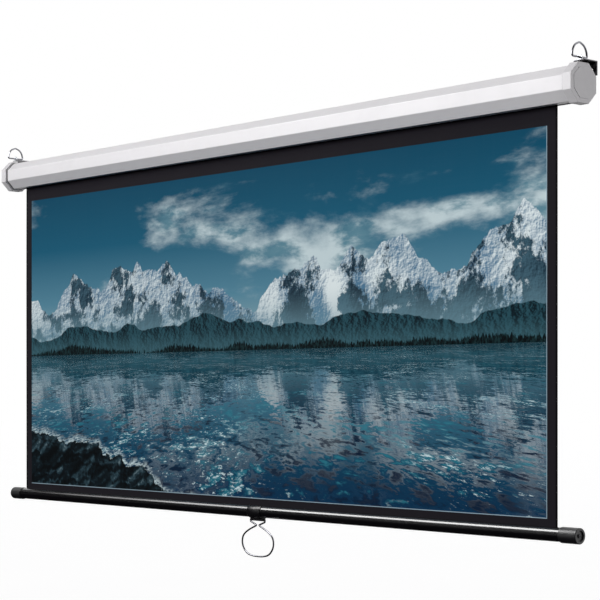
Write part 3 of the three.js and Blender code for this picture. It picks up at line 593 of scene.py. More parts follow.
def moulded_grain_group():
    """The fine spark-eroded grain of a moulded plastic, faint flow marks and rubbed patches."""
    inputs = {"Place": None, "Grain Size": 1500.0, "Roughness": 0.5, "Spread": 0.12}
    board, given, out = make_group("moulded_grain", inputs, ("Height", "Roughness", "Flow"))
    fine = board.noise(given["Place"], given["Grain Size"], 2, 0.6)
    flow = board.noise(board.stretch(given["Place"], (3, 9, 9)), 9.0, 4, 0.55, 0.8)
    rubbed = board.noise(given["Place"], 60.0, 4, 0.6)
    rough = board.swing(rubbed, given["Spread"], given["Roughness"])
    board.fill(out, {"Height": fine, "Roughness": rough, "Flow": flow})


def drawn_metal_group():
    """Lines that drawing or rolling leaves in a metal, and the cloudy crystals of its plating."""
    lines = (6.0, 900.0, 900.0)
    inputs = {"Place": None, "Lines": lines, "Cloud Size": 220.0, "Roughness": 0.3, "Spread": 0.15}
    board, given, out = make_group("drawn_metal", inputs, ("Height", "Roughness", "Clouds"))
    scratches = board.noise(board.vector_sum("MULTIPLY", given["Place"], given["Lines"]), 1.0, 3, 0.6)
    cell_values = {"Vector": given["Place"], "Scale": given["Cloud Size"]}
    cells = board.add("ShaderNodeTexVoronoi", cell_values, feature="SMOOTH_F1").outputs["Color"]
    clouds = board.add("ShaderNodeSeparateColor", (cells,)).outputs[0]
    rough = board.swing(clouds, given["Spread"], given["Roughness"])
    board.fill(out, {"Height": scratches, "Roughness": rough, "Clouds": clouds})


def weave_group():
    """A plain weave: two sets of ribs that take turns on top, and threads of uneven thickness."""
    board, given, out = make_group("plain_weave", {"Place": None, "Threads": 1400.0}, ("Height", "Slub"))
    place = given["Place"]
    parts = board.parts(place)
    turns = [board.times(board.times(part, given["Threads"]), math.pi) for part in parts[:2]]
    ribs = [board.sum("SINE", turn) for turn in turns]
    slubs = [board.noise(board.stretch(place, s), 1.0, 3, 0.6) for s in ((9, 420, 1), (420, 9, 1))]
    board.fill(out, {"Height": board.times(*ribs), "Slub": board.times(board.plus(*slubs), 0.5)})


def scenery_group():
    """Sky, snowy range, wooded hills and trees, by the place across and the height above a shore.

    Each skyline is a one-dimensional noise of the distance, and what lies under it hides what is behind.
    Slopes are shaded by the difference of one noise at two near places.
    """
    board, given, out = make_group("lake_scenery", {"Across": 0.0, "Height": 0.0}, ("Colour",))
    across, height = given["Across"], given["Height"]
    place = board.point(across, height)
    blues = [(0.0, (150, 178, 184)), (0.3, (84, 134, 156)), (0.62, (24, 90, 118)), (1.0, (6, 66, 92))]
    sky = board.ramp(board.times(height, 1.7), blues)
    cloud = board.noise_2d(board.stretch(place, (1.3, 3.6, 1)), 1.25, 12, 0.57, 0.15)
    shade = board.noise_2d(board.stretch(place, (2.2, 5.6, 1)), 2.3, 9, 0.6, 0.1)
    cloud_mask = board.fade(cloud, 0.5, 0.72)
    cloud_colour = board.mix(board.fade(shade, 0.36, 0.6), ink(96, 138, 154), ink(206, 222, 226))
    sky = board.mix(board.times(cloud_mask, 0.9), sky, cloud_colour)

    def skyline(scale, shift, base, swing, detail, rough):
        spot = board.line(across, scale, shift)
        line = board.noise_1d(spot, 1.0, detail, rough)
        return board.swing(line, swing, base)

    def under(line, blur):
        return board.fade(board.minus(line, height), -blur, blur)

    def relief(scale, detail, rough, shift, **kind):
        moved = board.vector_sum("ADD", place, (*shift, 0))
        lit = board.noise_2d(place, scale, detail, rough, **kind)
        dark = board.noise_2d(moved, scale, detail, rough, **kind)
        return board.minus(lit, dark)

    ridged = {"noise_type": "RIDGED_MULTIFRACTAL", "normalize": True}
    range_line = skyline(1.9, 3.35, 0.235, 0.62, 12, 0.5)
    ridges = relief(3.4, 11, 0.6, (0.011, 0.004), **ridged)
    grain = relief(26, 8, 0.7, (0.0035, -0.003))
    slope = board.fade(board.line(grain, 0.45, ridges), -0.075, 0.085)
    snow = board.mix(slope, ink(74, 116, 146), ink(226, 236, 238))
    rock = board.mix(slope, ink(12, 32, 48), ink(62, 94, 110))
    bare = board.noise_2d(board.stretch(place, (1.25, 1.0, 1)), 6.0, 11, 0.74)
    low_down = board.times(board.minus(range_line, height), 0.6)
    rocky = board.fade(board.plus(bare, low_down), 0.535, 0.6)
    mountain = board.mix(rocky, snow, rock)
    mist = board.fade(height, 0.02, 0.2, 0.7, 0.0)
    mountain = board.mix(mist, mountain, ink(112, 150, 164))
    view = board.mix(under(range_line, 0.002), sky, mountain)

    hill_line = skyline(1.5, 8.2, 0.085, 0.26, 11, 0.5)
    hill_slope = board.fade(relief(9, 11, 0.72, (0.006, 0.001)), -0.06, 0.06)
    hill = board.mix(hill_slope, ink(6, 24, 32), ink(38, 76, 88))
    hill = board.mix(board.fade(height, 0.0, 0.08, 0.5, 0.0), hill, ink(70, 112, 124))
    view = board.mix(under(hill_line, 0.0015), view, hill)

    tree_line = skyline(3.1, 14.6, 0.012, 0.07, 4, 0.5)
    tips = board.noise_1d(board.times(across, 110.0), 1.0, 3, 0.7)
    tree_top = board.line(board.minus(tips, 0.4), 0.04, tree_line)
    wood = board.noise_2d(board.stretch(place, (1.0, 0.45, 1)), 120.0, 5, 0.7)
    trees = board.mix(board.fade(wood, 0.42, 0.66), ink(3, 9, 12), ink(22, 48, 52))
    view = board.mix(under(tree_top, 0.0015), view, trees)
    board.fill(out, {"Colour": view})


def lake_picture_group():
    """The picture, by places in its own height: the scenery, its broken mirror image and boulders.

    The water's places are those of a level plane seen in perspective: its distance is one over the
    depth below the shore, and its places across are spread by that distance.
    """
    board, given, out = make_group("lake_picture", {"Across": 0.0, "Up": 0.0}, ("Colour",))
    across, up = given["Across"], given["Up"]
    shore = 0.45
    above = board.minus(up, shore)
    depth = board.times(above, -1.0)
    straight = board.group("lake_scenery", {"Across": across, "Height": above})["Colour"]

    away = board.sum("DIVIDE", 0.12, board.plus(depth, 0.014))
    plane = board.point(board.times(board.minus(across, 1.18), away), away)
    ripple = board.noise_2d(plane, 46.0, 7, 0.6, 0.2)
    swell = board.noise_2d(plane, 9.0, 4, 0.5, 0.3)
    wavy = board.plus(board.minus(ripple, 0.5), board.line(swell, 0.6, -0.3))
    push = board.times(wavy, board.fade(depth, 0.0, shore, 0.05, 0.62, smooth=False))
    mirror_place = {"Across": board.line(push, 0.2, across), "Height": board.line(depth, 1.12, push)}
    mirror = board.group("lake_scenery", mirror_place)["Colour"]
    tint = board.mix(board.fade(depth, 0.0, shore), ink(16, 76, 98), ink(6, 34, 66))
    water = board.mix(board.fade(depth, 0.0, 0.4, 0.3, 0.78, smooth=False), mirror, tint)
    crest = board.times(board.fade(wavy, 0.03, 0.2), board.fade(depth, 0.0, 0.3, 0.4, 0.9))
    water = board.mix(board.times(crest, 0.72), water, ink(48, 128, 146))
    trough = board.times(board.fade(wavy, -0.04, -0.2), board.fade(depth, 0.02, 0.3, 0.2, 0.8))
    water = board.mix(trough, water, ink(5, 18, 42))
    foam = board.noise_2d(plane, 130.0, 7, 0.75, 0.2)
    lane = board.noise_2d(plane, 2.6, 3, 0.5, 0.3)
    glint = board.fade(board.line(wavy, 0.55, foam), 0.6, 0.7)
    sparkle = board.times(glint, board.fade(lane, 0.4, 0.6))
    water = board.mix(board.times(sparkle, 0.92), water, ink(206, 224, 228))

    picture = board.mix(board.fade(above, -0.001, 0.001), water, straight)
    rise = board.noise_1d(board.line(across, 2.6, 5.1), 1.0, 9, 0.6)
    fall = board.fade(across, 0.05, 1.3, 0.19, -0.1)
    bank = board.line(board.minus(rise, 0.5), 0.2, fall)
    spot = board.stretch(board.point(across, up), (7, 11, 1))
    wobble = board.noise_2d(board.point(across, up), 9.0, 5, 0.6)

    def boulders(shift):
        moved = board.vector_sum("ADD", spot, (*shift, 0))
        bent = board.vector_sum("ADD", moved, wobble)
        values = {"Vector": bent, "Scale": 1.0, "Detail": 2.0, "Roughness": 0.45, "Lacunarity": 2.3}
        kind = {"feature": "F1", "voronoi_dimensions": "2D", "normalize": True}
        return board.add("ShaderNodeTexVoronoi", values, **kind).outputs["Distance"]

    slant = board.minus(boulders((0.07, -0.09)), boulders((0.0, 0.0)))
    grit = board.noise_2d(board.point(across, up), 55.0, 9, 0.75)
    lit = board.plus(board.line(slant, 3.4, 0.22), board.line(grit, 0.6, -0.3))
    greys = [(0.0, (3, 7, 10)), (0.3, (12, 24, 30)), (0.55, (44, 66, 76)), (0.9, (138, 158, 164))]
    stone = board.ramp(lit, greys)
    edge = board.minus(bank, up)
    wash = board.times(board.fade(edge, -0.03, 0.0), board.fade(foam, 0.42, 0.58))
    picture = board.mix(board.times(wash, 0.9), picture, ink(196, 214, 218))
    picture = board.mix(board.fade(board.line(slant, 0.1, edge), -0.002, 0.003), picture, stone)
    board.fill(out, {"Colour": picture})


node_group_makers = (
    baked_enamel_group,
    moulded_grain_group,
    drawn_metal_group,
    weave_group,
    scenery_group,
    lake_picture_group,
)


# Materials


def new_material(name):
    """The board and the shader of a new material."""
    material = bpy.data.materials.new(name + FINISH)
    material.use_nodes = True
    return Board(material.node_tree), material.node_tree.nodes["Principled BSDF"]


def tone(colour, gain, lift=0.0):
    """A colour made lighter or darker, with its alpha."""
    return (*(min(1, gain * c + lift) for c in colour), 1)


def dress(board, shader, colour, rough, height, strength, depth, extra):
    """Give a shader its colour, its roughness and a relief, and more values by their sockets' names."""
    relief = {"Height": height, "Strength": strength, "Distance": depth * MM}
    normal = board.add("ShaderNodeBump", relief).outputs[0]
    board.fill(shader, {"Base Color": colour, "Roughness": rough, "Normal": normal, **extra})


def grouped_material(name, group, values, mask, colours, relief, extra):
    """A material whose relief, roughness and mask one group gives. The mask mixes its two colours."""
    board, shader = new_material(name)
    place = board.object_place()
    finish = board.group(group, {"Place": place, **values})
    base = board.mix(finish[mask], *colours)
    dress(board, shader, base, finish["Roughness"], finish["Height"], *relief, extra)
    return board, shader, place, base


def enamel_material(name, colour, peel, roughness, dust, coat):
    """Baked enamel: a coloured coat with orange peel, uneven gloss and a little dust."""
    values = {"Peel Size": peel, "Roughness": roughness, "Spread": 0.1, "Dust": dust}
    colours = tone(colour, 1), tone(colour, 0.72, 0.02)
    extra = {"Coat Weight": coat, "Coat Roughness": 0.25}
    grouped_material(name, "baked_enamel", values, "Dust Mask", colours, (0.35, 0.03), extra)


def plastic_material(name, colour, roughness, grain=1500.0, specular=0.5):
    """Moulded plastic: fine grain, faint flow marks in its colour and rubbed patches in its gloss."""
    values = {"Grain Size": grain, "Roughness": roughness, "Spread": 0.14}
    colours = tone(colour, 0.93), tone(colour, 1.04, 0.002)
    extra = {"Specular IOR Level": specular}
    grouped_material(name, "moulded_grain", values, "Flow", colours, (0.3, 0.03), extra)


def metal_material(name, colour, roughness, spread, lines=(6.0, 900.0, 900.0), clouds=220.0, depth=0.01):
    """Drawn or plated metal: lines along it, and clouds in its colour and gloss."""
    values = {"Lines": lines, "Cloud Size": clouds, "Roughness": roughness, "Spread": spread}
    colours = tone(colour, 0.86), tone(colour, 1.08)
    return grouped_material(name, "drawn_metal", values, "Clouds", colours, (0.4, depth), {"Metallic": 1})


def bracket_material(painted_shade_colour, plated):
    """The brackets' steel, darkened all over as painted shade for the shadowed pocket behind each cap and the
    groove beside it. The bail's eye above the top flange is left bright in the plating's own colour.
    """
    lines, clouds = (300.0, 40.0, 900.0), 160.0
    board, shader, place, coat = metal_material("dark_steel", painted_shade_colour, 0.38, 0.2, lines, clouds)
    flange_top = BAIL_LOW[2] - 2 * MM
    edge = board.swing(board.noise(place, 240.0, 4, 0.6), 1.5 * MM, board.parts(place)[2])
    bright = board.fade(edge, flange_top - 1 * MM, flange_top + 0.4 * MM)
    board.fill(shader, {"Base Color": board.mix(bright, coat, tone(plated, 1))})


def cloth_colour(board, colour, slub):
    return board.mix(slub, tone(colour, 0.88), tone(colour, 1.12))


def dress_cloth(board, shader, colour, weave, smoothest, roughest):
    rough = board.fade(weave["Slub"], 0.3, 0.7, smoothest, roughest)
    dress(board, shader, colour, rough, weave["Height"], 0.2, 0.02, {"Specular IOR Level": 0.05})


def print_material(sizes, colour):
    """The fabric's front, all in UV: black borders, a blacker selvedge, a pale margin and the picture."""
    board, shader = new_material("printed_fabric")
    place = board.add("ShaderNodeTexCoord").outputs["UV"]
    x, y = board.parts(place)[:2]
    width = FABRIC_HIGH[0] - FABRIC_LOW[0]
    head = (CASE_LOW[2] - sizes.top_border - FABRIC_LOW[2]) / width
    tall, side = sizes.picture_height / width, sizes.side_border / width
    selvedge, margin = sizes.selvedge / width, sizes.margin / width
    foot, blur = head - tall, 0.0002
    weave = board.group("plain_weave", {"Place": place, "Threads": width / THREAD})
    border = cloth_colour(board, colour, weave["Slub"])
    to_side = board.minus(0.5, board.sum("ABSOLUTE", board.minus(x, 0.5)))
    border = board.mix(board.fade(to_side, selvedge, selvedge * 0.9), border, ink(6, 5, 8))
    if sizes.show_picture:
        across = board.sum("DIVIDE", board.minus(x, side), tall)
        up = board.sum("DIVIDE", board.minus(y, foot), tall)
        picture = board.group("lake_picture", {"Across": across, "Up": up})["Colour"]
    else:
        picture = cloth_colour(board, ink(236, 236, 234)[:3], weave["Slub"])
    at_right = board.fade(x, 1 - side - margin - blur, 1 - side - margin + blur)
    at_foot = board.fade(y, foot + margin + blur, foot + margin - blur)
    at_margin = board.times(board.sum("MAXIMUM", at_right, at_foot), 0.85)
    picture = board.mix(at_margin, picture, ink(150, 172, 186))
    inside = board.fade(to_side, side - blur, side + blur)
    inside = board.times(inside, board.fade(y, foot - blur, foot + blur))
    inside = board.times(inside, board.fade(y, head + blur, head - blur))
    dress_cloth(board, shader, board.mix(inside, border, picture), weave, 0.74, 0.88)


def black_cloth_material(colour):
    """Black coated fabric: a plain weave with uneven threads."""
    board, shader = new_material("black_fabric")
    weave = board.group("plain_weave", {"Place": board.object_place(), "Threads": 1 / THREAD})
    dress_cloth(board, shader, cloth_colour(board, colour, weave["Slub"]), weave, 0.78, 0.9)


class SCREEN_OT_finishes(bpy.types.Operator):
    """Make the node groups and the materials"""

    bl_idname = "screen.finishes"
    bl_label = "Finishes"

    def execute(self, context):
        colours, sizes = context.scene.screen_colours, context.scene.screen_sizes
        for make in node_group_makers:
            make()
        enamel_material("white_enamel", colours.enamel, 420.0, 0.42, 0.12, 0.0)
        enamel_material("black_enamel", colours.bar, 380.0, 0.12, 0.01, 1.0)
        plastic_material("light_grey_plastic", colours.cap_plastic, 0.5)
        plastic_material("black_plastic", colours.black_plastic, 0.5, 1300.0, 0.5)
        plastic_material("cup_plastic", colours.cup_plastic, 0.4, 1300.0, 0.7)
        plastic_material("clip_plastic", colours.clip_plastic, 0.28, 1300.0, 0.5)
        plastic_material("natural_plastic", colours.nylon, 0.48)
        bracket_material(colours.bracket, colours.plated)
        metal_material("zinc_steel", colours.plated, 0.34, 0.2)
        metal_material("blackened_steel", colours.blackened, 0.45, 0.15)
        metal_material("chrome_wire", colours.chrome, 0.2, 0.08, (60.0, 60.0, 60.0), 90.0, 0.004)
        metal_material("spring_steel", colours.spring, 0.36, 0.12)
        print_material(sizes, colours.border)
        black_cloth_material(colours.border)
        return {"FINISHED"}


class SCREEN_OT_case(bpy.types.Operator):
    """Add the roll-formed case, one strip bent round eight sides, with a lip at each side of its slot"""

    bl_idname = "screen.case"
    bl_label = "Case"

    def execute(self, context):
        sizes = context.scene.screen_sizes
        wall = sizes.shell_wall
        middle = (CASE_HIGH[2] - CASE_LOW[2]) / 2 - wall / 2
        corners = arc(-(2 * np.arange(8) + 5) * math.pi / 8, middle / math.cos(math.pi / 8))
        bend = sizes.shell_corner - wall / 2
        lip_top = -middle + wall / 2 + sizes.slot_lip
        front = sizes.slot_front - wall / 2
        back = sizes.slot_front + sizes.slot_width + wall / 2
        lip_bend = 0.8 * MM
        # From the front lip down, round by the front, the top and the back, and up the back lip.
        around = [(y, z, bend) for y, z in corners]
        lips = [[(y, lip_top, 0), (y, -middle, lip_bend)] for y in (front, back)]
        path = rounded([*lips[0], *around, *lips[1][::-1]], steps=7)
        section = strip(path, wall) + [0, CASE_Z]
        shell = skin(along_x(section, np.linspace(CASE_LOW[0], CASE_HIGH[0], 41)), "ladder")
        make_piece("case_strip", [shell], "case", "white_enamel", "case_shell")
        return {"FINISHED"}


class SCREEN_OT_end_caps(bpy.types.Operator):
    """Add the two moulded end caps, with a neck, rounded edges, a raised end panel and two pegs"""

    bl_idname = "screen.end_caps"
    bl_label = "End caps"

    def execute(self, context):
        outer = (CAP_HIGH[2] - CAP_LOW[2]) / 2
        end = CAP_HIGH[0]
        length, panel_height, end_wall = 23 * MM, 1.5 * MM, 2.5 * MM
        start, body_end = end - length, end - panel_height
        floor, core, neck_length = body_end - end_wall, 4 * MM, 1 * MM
        wall, neck, panel = 7.5 * MM, 4 * MM, 8.5 * MM
        # From the end wall's middle along the inside, round the neck and over the raised panel.
        profile = rounded(
            [
                (floor, core, 0),
                (floor, outer - wall, 0.8 * MM),
                (start, outer - wall, 0.3 * MM),
                (start, outer - neck, 0.3 * MM),
                (start + neck_length, outer - neck, 0.2 * MM),
                (start + neck_length, outer, 1.0 * MM),
                (body_end, outer, 1.2 * MM),
                (body_end, outer - panel, 0.25 * MM),
                (end, outer - panel, 0.7 * MM),
                (end, core, 0),
            ],
            steps=4,
            guard=0.2 * MM,
        )
        cup = eight_sided(profile, CASE_Z, 3 * MM)
        peg_radius, peg_core, into_cap = 2.5 * MM, 0.5 * MM, 0.5 * MM
        forward, offset = -12.3761 * MM, 27.5 * MM
        peg = rounded(
            [
                (CAP_LOW[0], peg_core, 0),
                (CAP_LOW[0], peg_radius, 0.6 * MM),
                (floor + into_cap, peg_radius, 0.2 * MM),
                (floor + into_cap, peg_core, 0),
            ],
            steps=4,
        )
        pegs = [skin(lathe(peg, forward, CASE_Z + side * offset, 32)) for side in (-1, 1)]
        right = [cup, *pegs]
        for side, shells in (("right", right), ("left", [mirrored(shell) for shell in right])):
            make_piece("case_cap_" + side, shells, "case", "light_grey_plastic", "end_cap_" + side, 40)
        return {"FINISHED"}


class SCREEN_OT_brackets(bpy.types.Operator):
    """Add the two folded end brackets, with their edges softened as a press leaves them"""

    bl_idname = "screen.brackets"
    bl_label = "Brackets"

    def execute(self, context):
        for side in ("left", "right"):
            # Their dark finish is painted shade for the pocket behind each cap; only the bail's eye keeps the
            # bright plating.
            merged_copy("end_bracket_" + side, "folded_bracket_" + side, "case", "dark_steel", 0.25 * MM)
        return {"FINISHED"}


class SCREEN_OT_bails(bpy.types.Operator):
    """Add the two bent wire bails that the screen hangs by"""

    bl_idname = "screen.bails"
    bl_label = "Bails"

    def execute(self, context):
        sizes = context.scene.screen_sizes
        half = (BAIL_HIGH[1] - BAIL_LOW[1]) / 2 - sizes.wire_radius
        x, y = (BAIL_LOW + BAIL_HIGH)[:2] / 2
        pivot = BAIL_LOW[2] + sizes.wire_radius
        # Out from the butt joint in the eye, up one side of the arch, over its top and back to the joint.
        arch = [(20.68, 11.76), (13.86, 22.4)]
        corners = [
            (11.3, 0, 0),
            (22, 0, 4),
            *[(a, b, 99) for a, b in arch],
            (0, 28, 3.5),
            *[(-a, b, 99) for a, b in reversed(arch)],
            (-22, 0, 4),
            (10.7, 0, 0),
        ]
        path = wire_path(corners)
        if abs(np.abs(path[:, 0]).max() - half) > 1 * MM:
            raise RuntimeError("the bails' wire doesn't fit the packed model")
        for side, sign in (("left", -1), ("right", 1)):
            shell = wire(path, sizes.wire_radius, (sign * x, y, pivot), sizes.wire_sides, run=1)
            node = "hanging_bail_" + side
            make_piece("wire_bail_" + side, [shell], side + "_bail", "chrome_wire", node, 60)
        return {"FINISHED"}


def fabric_grid(sizes, across=161, up=121):
    """The hanging sheet: a thin closed section of X and Y at each height.

    Its middle waves by two cosines of the place across and up, less a high power of the distance
    from its middle line, which curls its sides. A sine's power fades this out at the roller and the bar.
    """
    u = np.linspace(0, 1, across)
    v = np.linspace(0, 1, up)[:, None]
    x = FABRIC_LOW[0] + u * (FABRIC_HIGH[0] - FABRIC_LOW[0])
    z = FABRIC_LOW[2] + v * (FABRIC_HIGH[2] - FABRIC_LOW[2])
    waves = 0.6 * np.cos(2 * math.pi * (1.5 * u + 0.6 * v + 0.1))
    waves = waves + 0.4 * np.cos(2 * math.pi * (4 * u - 0.5 * v))
    curl = -0.8 * (np.abs(2 * u - 1) ** 24)
    lean = sizes.tautness * np.sin(math.pi * v) ** 0.7 * (waves + curl)
    middle = (FABRIC_LOW[1] + FABRIC_HIGH[1]) / 2 + lean
    half = (FABRIC_HIGH[1] - FABRIC_LOW[1]) / 2
    grid = np.empty((up, 2 * across, 3))
    grid[:, :across, 0], grid[:, across:, 0] = x, x[::-1]
    grid[:, :across, 1], grid[:, across:, 1] = middle - half, (middle + half)[:, ::-1]
    grid[..., 2] = z
    return grid


class SCREEN_OT_fabric(bpy.types.Operator):
    bl_idname = "screen.fabric"
    bl_label = "Fabric"

    def execute(self, context):
        sizes = context.scene.screen_sizes
        width = FABRIC_HIGH[0] - FABRIC_LOW[0]
        shell = skin(fabric_grid(sizes), "ladder")
        sheet = make_piece("hanging_sheet", [shell], "case", "printed_fabric", "projection_fabric", 60)
        mesh = sheet.data
        mesh.materials.append(finish_of("black_fabric"))
        normals = np.empty(3 * len(mesh.polygons), np.float32)
        mesh.polygons.foreach_get("normal", normals)
        behind = normals.reshape(-1, 3)[:, 1] > -0.5
        mesh.polygons.foreach_set("material_index", behind.astype(np.int32))
        corner_points = np.empty(len(mesh.loops), np.int32)
        mesh.loops.foreach_get("vertex_index", corner_points)
        uv = (shell[0][corner_points] - FABRIC_LOW)[:, [0, 2]] / width
        layer = mesh.uv_layers.new(name="Cloth")
        layer.uv.foreach_set("vector", uv.astype(np.float32).ravel())

        cloth = 0.32 * MM
        pitch = cloth + 0.01 * MM
        # The strip's middle follows a spiral: its radius grows by one pitch a turn.
        turn = np.linspace(0, 4 * math.pi, 193)
        outer = (WRAPS_HIGH[2] - WRAPS_LOW[2]) / 2
        radius = outer - 2 * pitch - cloth / 2 + pitch * turn / (2 * math.pi)
        spiral = arc(turn, radius, (WRAPS_LOW + WRAPS_HIGH)[1:] / 2)
        rolled = bent_sheet(spiral, cloth, [WRAPS_LOW[0], WRAPS_HIGH[0]])
        wraps = make_piece("rolled_fabric", [rolled], "roller", "black_fabric", "fabric_wraps", 60)

        two_layers = 0.5 * MM
        hem_radius = (HEM_HIGH[2] - HEM_LOW[2]) / 2 - two_layers / 2
        turn = np.linspace(0.55 * math.pi, 2.45 * math.pi, 65)
        loop = arc(turn, hem_radius, (HEM_LOW + HEM_HIGH)[1:] / 2)
        folded = bent_sheet(loop, two_layers, [HEM_LOW[0], HEM_HIGH[0]])
        hem = make_piece("folded_hem", [folded], "bottom_bar", "black_fabric", "hem_wrap", 60)

        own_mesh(sheet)
        return {"FINISHED"}


class SCREEN_OT_bar(bpy.types.Operator):
    """Add the bottom bar, a tube with a groove along its top, and the two deep caps over its ends"""

    bl_idname = "screen.bar"
    bl_label = "Bottom bar"

    def execute(self, context):
        sizes = context.scene.screen_sizes
        wall = 1 * MM
        middle = sizes.bar_radius - wall / 2
        mouth = math.asin(sizes.bar_slot / 2 / middle)
        turn = np.linspace(math.pi / 2 + mouth, 5 * math.pi / 2 - mouth, 121)
        path = arc(turn, middle, (BAR_Y, BAR_Z))
        tube = bent_sheet(path, wall, np.linspace(BAR_LOW[0], BAR_HIGH[0], 41))
        make_piece("bottom_tube", [tube], "bottom_bar", "black_enamel", "bar_tube")

        outer = (BAR_CAP_HIGH[2] - BAR_CAP_LOW[2]) / 2
        start, end = BAR_CAP_LOW[0], BAR_CAP_HIGH[0]
        bore = sizes.bar_radius + 0.3 * MM
        floor, recess = end - 5.7 * MM, end - 3 * MM
        screw_hole, rim = 2.05 * MM, 10.5 * MM
        # From the bore's floor out to the rim, along the outside, over the end's edge and into the recess.
        profile = rounded(
            [
                (recess - 1 * MM, screw_hole, 0),
                (floor, screw_hole, 0.2 * MM),
                (floor, bore, 0.5 * MM),
                (start, bore, 0.2 * MM),
                (start, outer, 0.4 * MM),
                (end, outer, 1.3 * MM),
                (end, rim, 0.4 * MM),
                (recess, rim, 0.5 * MM),
                (recess, screw_hole, 0.3 * MM),
                (recess - 0.9 * MM, screw_hole, 0),
            ],
            steps=5,
            guard=0.15 * MM,
        )
        shell = turned_open(profile, BAR_Y, BAR_Z, sizes.round_sides)
        cups = {"right": shell, "left": mirrored(shell, (BAR_LOW[0] + BAR_HIGH[0]) / 2)}
        for side, cup in cups.items():
            node = "bar_cap_" + side
            make_piece("bar_cup_" + side, [cup], "bottom_bar", "black_plastic", node, 40, "cup_plastic")
        return {"FINISHED"}


class SCREEN_OT_pull(bpy.types.Operator):
    """Add the clip under the bar's middle and the wire ring that hangs from it"""

    bl_idname = "screen.pull"
    bl_label = "Clip and ring"

    def execute(self, context):
        sizes = context.scene.screen_sizes
        x = (SADDLE_LOW[0] + SADDLE_HIGH[0]) / 2
        half = (SADDLE_HIGH[0] - SADDLE_LOW[0]) / 2
        inner, wall = sizes.bar_radius + 0.3 * MM, 1.2 * MM
        boss_drop, boss = 17.6 * MM, 4 * MM
        gap = math.radians(28)
        turn = np.linspace(math.pi / 2 + gap, 5 * math.pi / 2 - gap, 181)
        inside = arc(turn, inner)
        # The outside is the band, or the web's flank where that reaches further down.
        band = np.full(len(turn), inner + wall)
        lean = np.abs(turn - 3 * math.pi / 2)
        flank = boss / np.maximum(np.sin(lean), 1e-6)
        foot = boss_drop / np.maximum(np.cos(lean), 1e-6)
        web_end, blend_end = 0.6, 0.45
        in_web = (lean < web_end) & (np.minimum(flank, foot) > band)
        reach = np.where(in_web, np.minimum(flank, foot), band)
        blend = np.convolve(np.pad(reach, 2, mode="edge"), np.ones(5) / 5, mode="valid")
        reach = np.where(lean < blend_end, blend, reach)
        outside = arc(turn, reach)
        edge = 0.35 * MM
        direction = outside / np.linalg.norm(outside, axis=1)[:, None]
        # The saddle's sections, each at its place along X and shrunk where its end is rounded.
        rows = [(-half, edge), (-half + edge * 0.3, edge * 0.3), (-half + edge, 0)]
        rows += [(0, 0)] + [(-station, shrink) for station, shrink in reversed(rows)]
        grid = []
        for station, shrink in rows:
            section = np.vstack([outside - direction * shrink, inside[::-1]]) + [BAR_Y, BAR_Z]
            grid.append(along_x(section, [x + station])[0])
        saddle = skin(np.stack(grid), "ladder")
        pin_hole, depth = 2.5 * MM, 7.3 * MM
        # From the middle of the pin's hole at one end, over the outside, to the other end.
        ear = [(half - depth, 0.4 * MM, 0), (half - depth, pin_hole, 0.1 * MM)]
        ear += [(half, pin_hole, 0.2 * MM), (half, boss, 0.4 * MM)]
        both = [(x + a, b, c) for a, b, c in ear] + [(x - a, b, c) for a, b, c in reversed(ear)]
        ear = rounded(both, steps=4, guard=0.1 * MM)
        barrel = skin(lathe(ear, BAR_Y, BAR_Z - boss_drop, 40))
        shells = [saddle, barrel]
        make_piece("pull_clip", shells, "bottom_bar", "black_plastic", "pull_saddle", 40, "clip_plastic")

        # One half of the ring, from its pin's end out and down to its foot.
        loop = [(15, 0, 0), (24.7, 0, 2), (24.7, -5.8, 2), (2.8, -13.5, 5)]
        round_corners = [(33.17, -25.79), (52.43, -39.1), (54.57, -59.9), (39.59, -79.04), (16.05, -84.03)]
        loop += [(a, b, 99) for a, b in round_corners]
        corners = [(-a, b, c) for a, b, c in loop] + loop[::-1]
        path = wire_path(corners)
        place = (x, (RING_LOW[1] + RING_HIGH[1]) / 2, RING_HIGH[2] - sizes.wire_radius)
        shell = wire(path, sizes.wire_radius, place, sizes.wire_sides)
        make_piece("wire_ring", [shell], "ring", "chrome_wire", "pull_ring", 60)
        return {"FINISHED"}


class SCREEN_OT_screws(bpy.types.Operator):
    """Add every screw with its cross recess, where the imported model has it"""

    bl_idname = "screen.screws"
    bl_label = "Screws"

    # Names of the nodes, their body, the screw's head height and shank radius, and its finish
    kinds = (
        (("bracket_screw_upper_{}", "bracket_screw_lower_{}"), "case", 2.4 * MM, 1.75 * MM, "zinc_steel"),
        (("shell_screw_{}",), "case", 1.4 * MM, 1.5 * MM, "zinc_steel"),
        (("bar_cap_screw_{}",), "bottom_bar", 2 * MM, 1.75 * MM, "blackened_steel"),
        (("saddle_screw_{}",), "bottom_bar", 1.5 * MM, 1.3 * MM, "zinc_steel"),
    )

    def execute(self, context):
        for names, body, height, shank, finish in self.kinds:
            for name in names:
                for side in ("left", "right"):
                    node = name.format(side)
                    self.add_screw(node, side, body, height, shank, finish)
        return {"FINISHED"}

    def add_screw(self, node, side, body, height, shank, finish):
        low, high = span(node)
        size, middle = high - low, (low + high) / 2
        axis = int(np.argmax(size))
        head = size[(axis + 1) % 3] / 2
        grid = screw_grid(size[axis] - height, shank, head, height)
        away = 1 if axis == 1 or side == "right" else -1
        local = grid.reshape(-1, 3)
        points = middle + np.roll(local, axis, axis=1)
        seat = high[axis] - height if away > 0 else low[axis] + height
        points[:, axis] = seat + away * local[:, 0]
        shell = skin(points.reshape(grid.shape))
        make_piece(node + "_threaded", [shell], body, finish, node, 30)


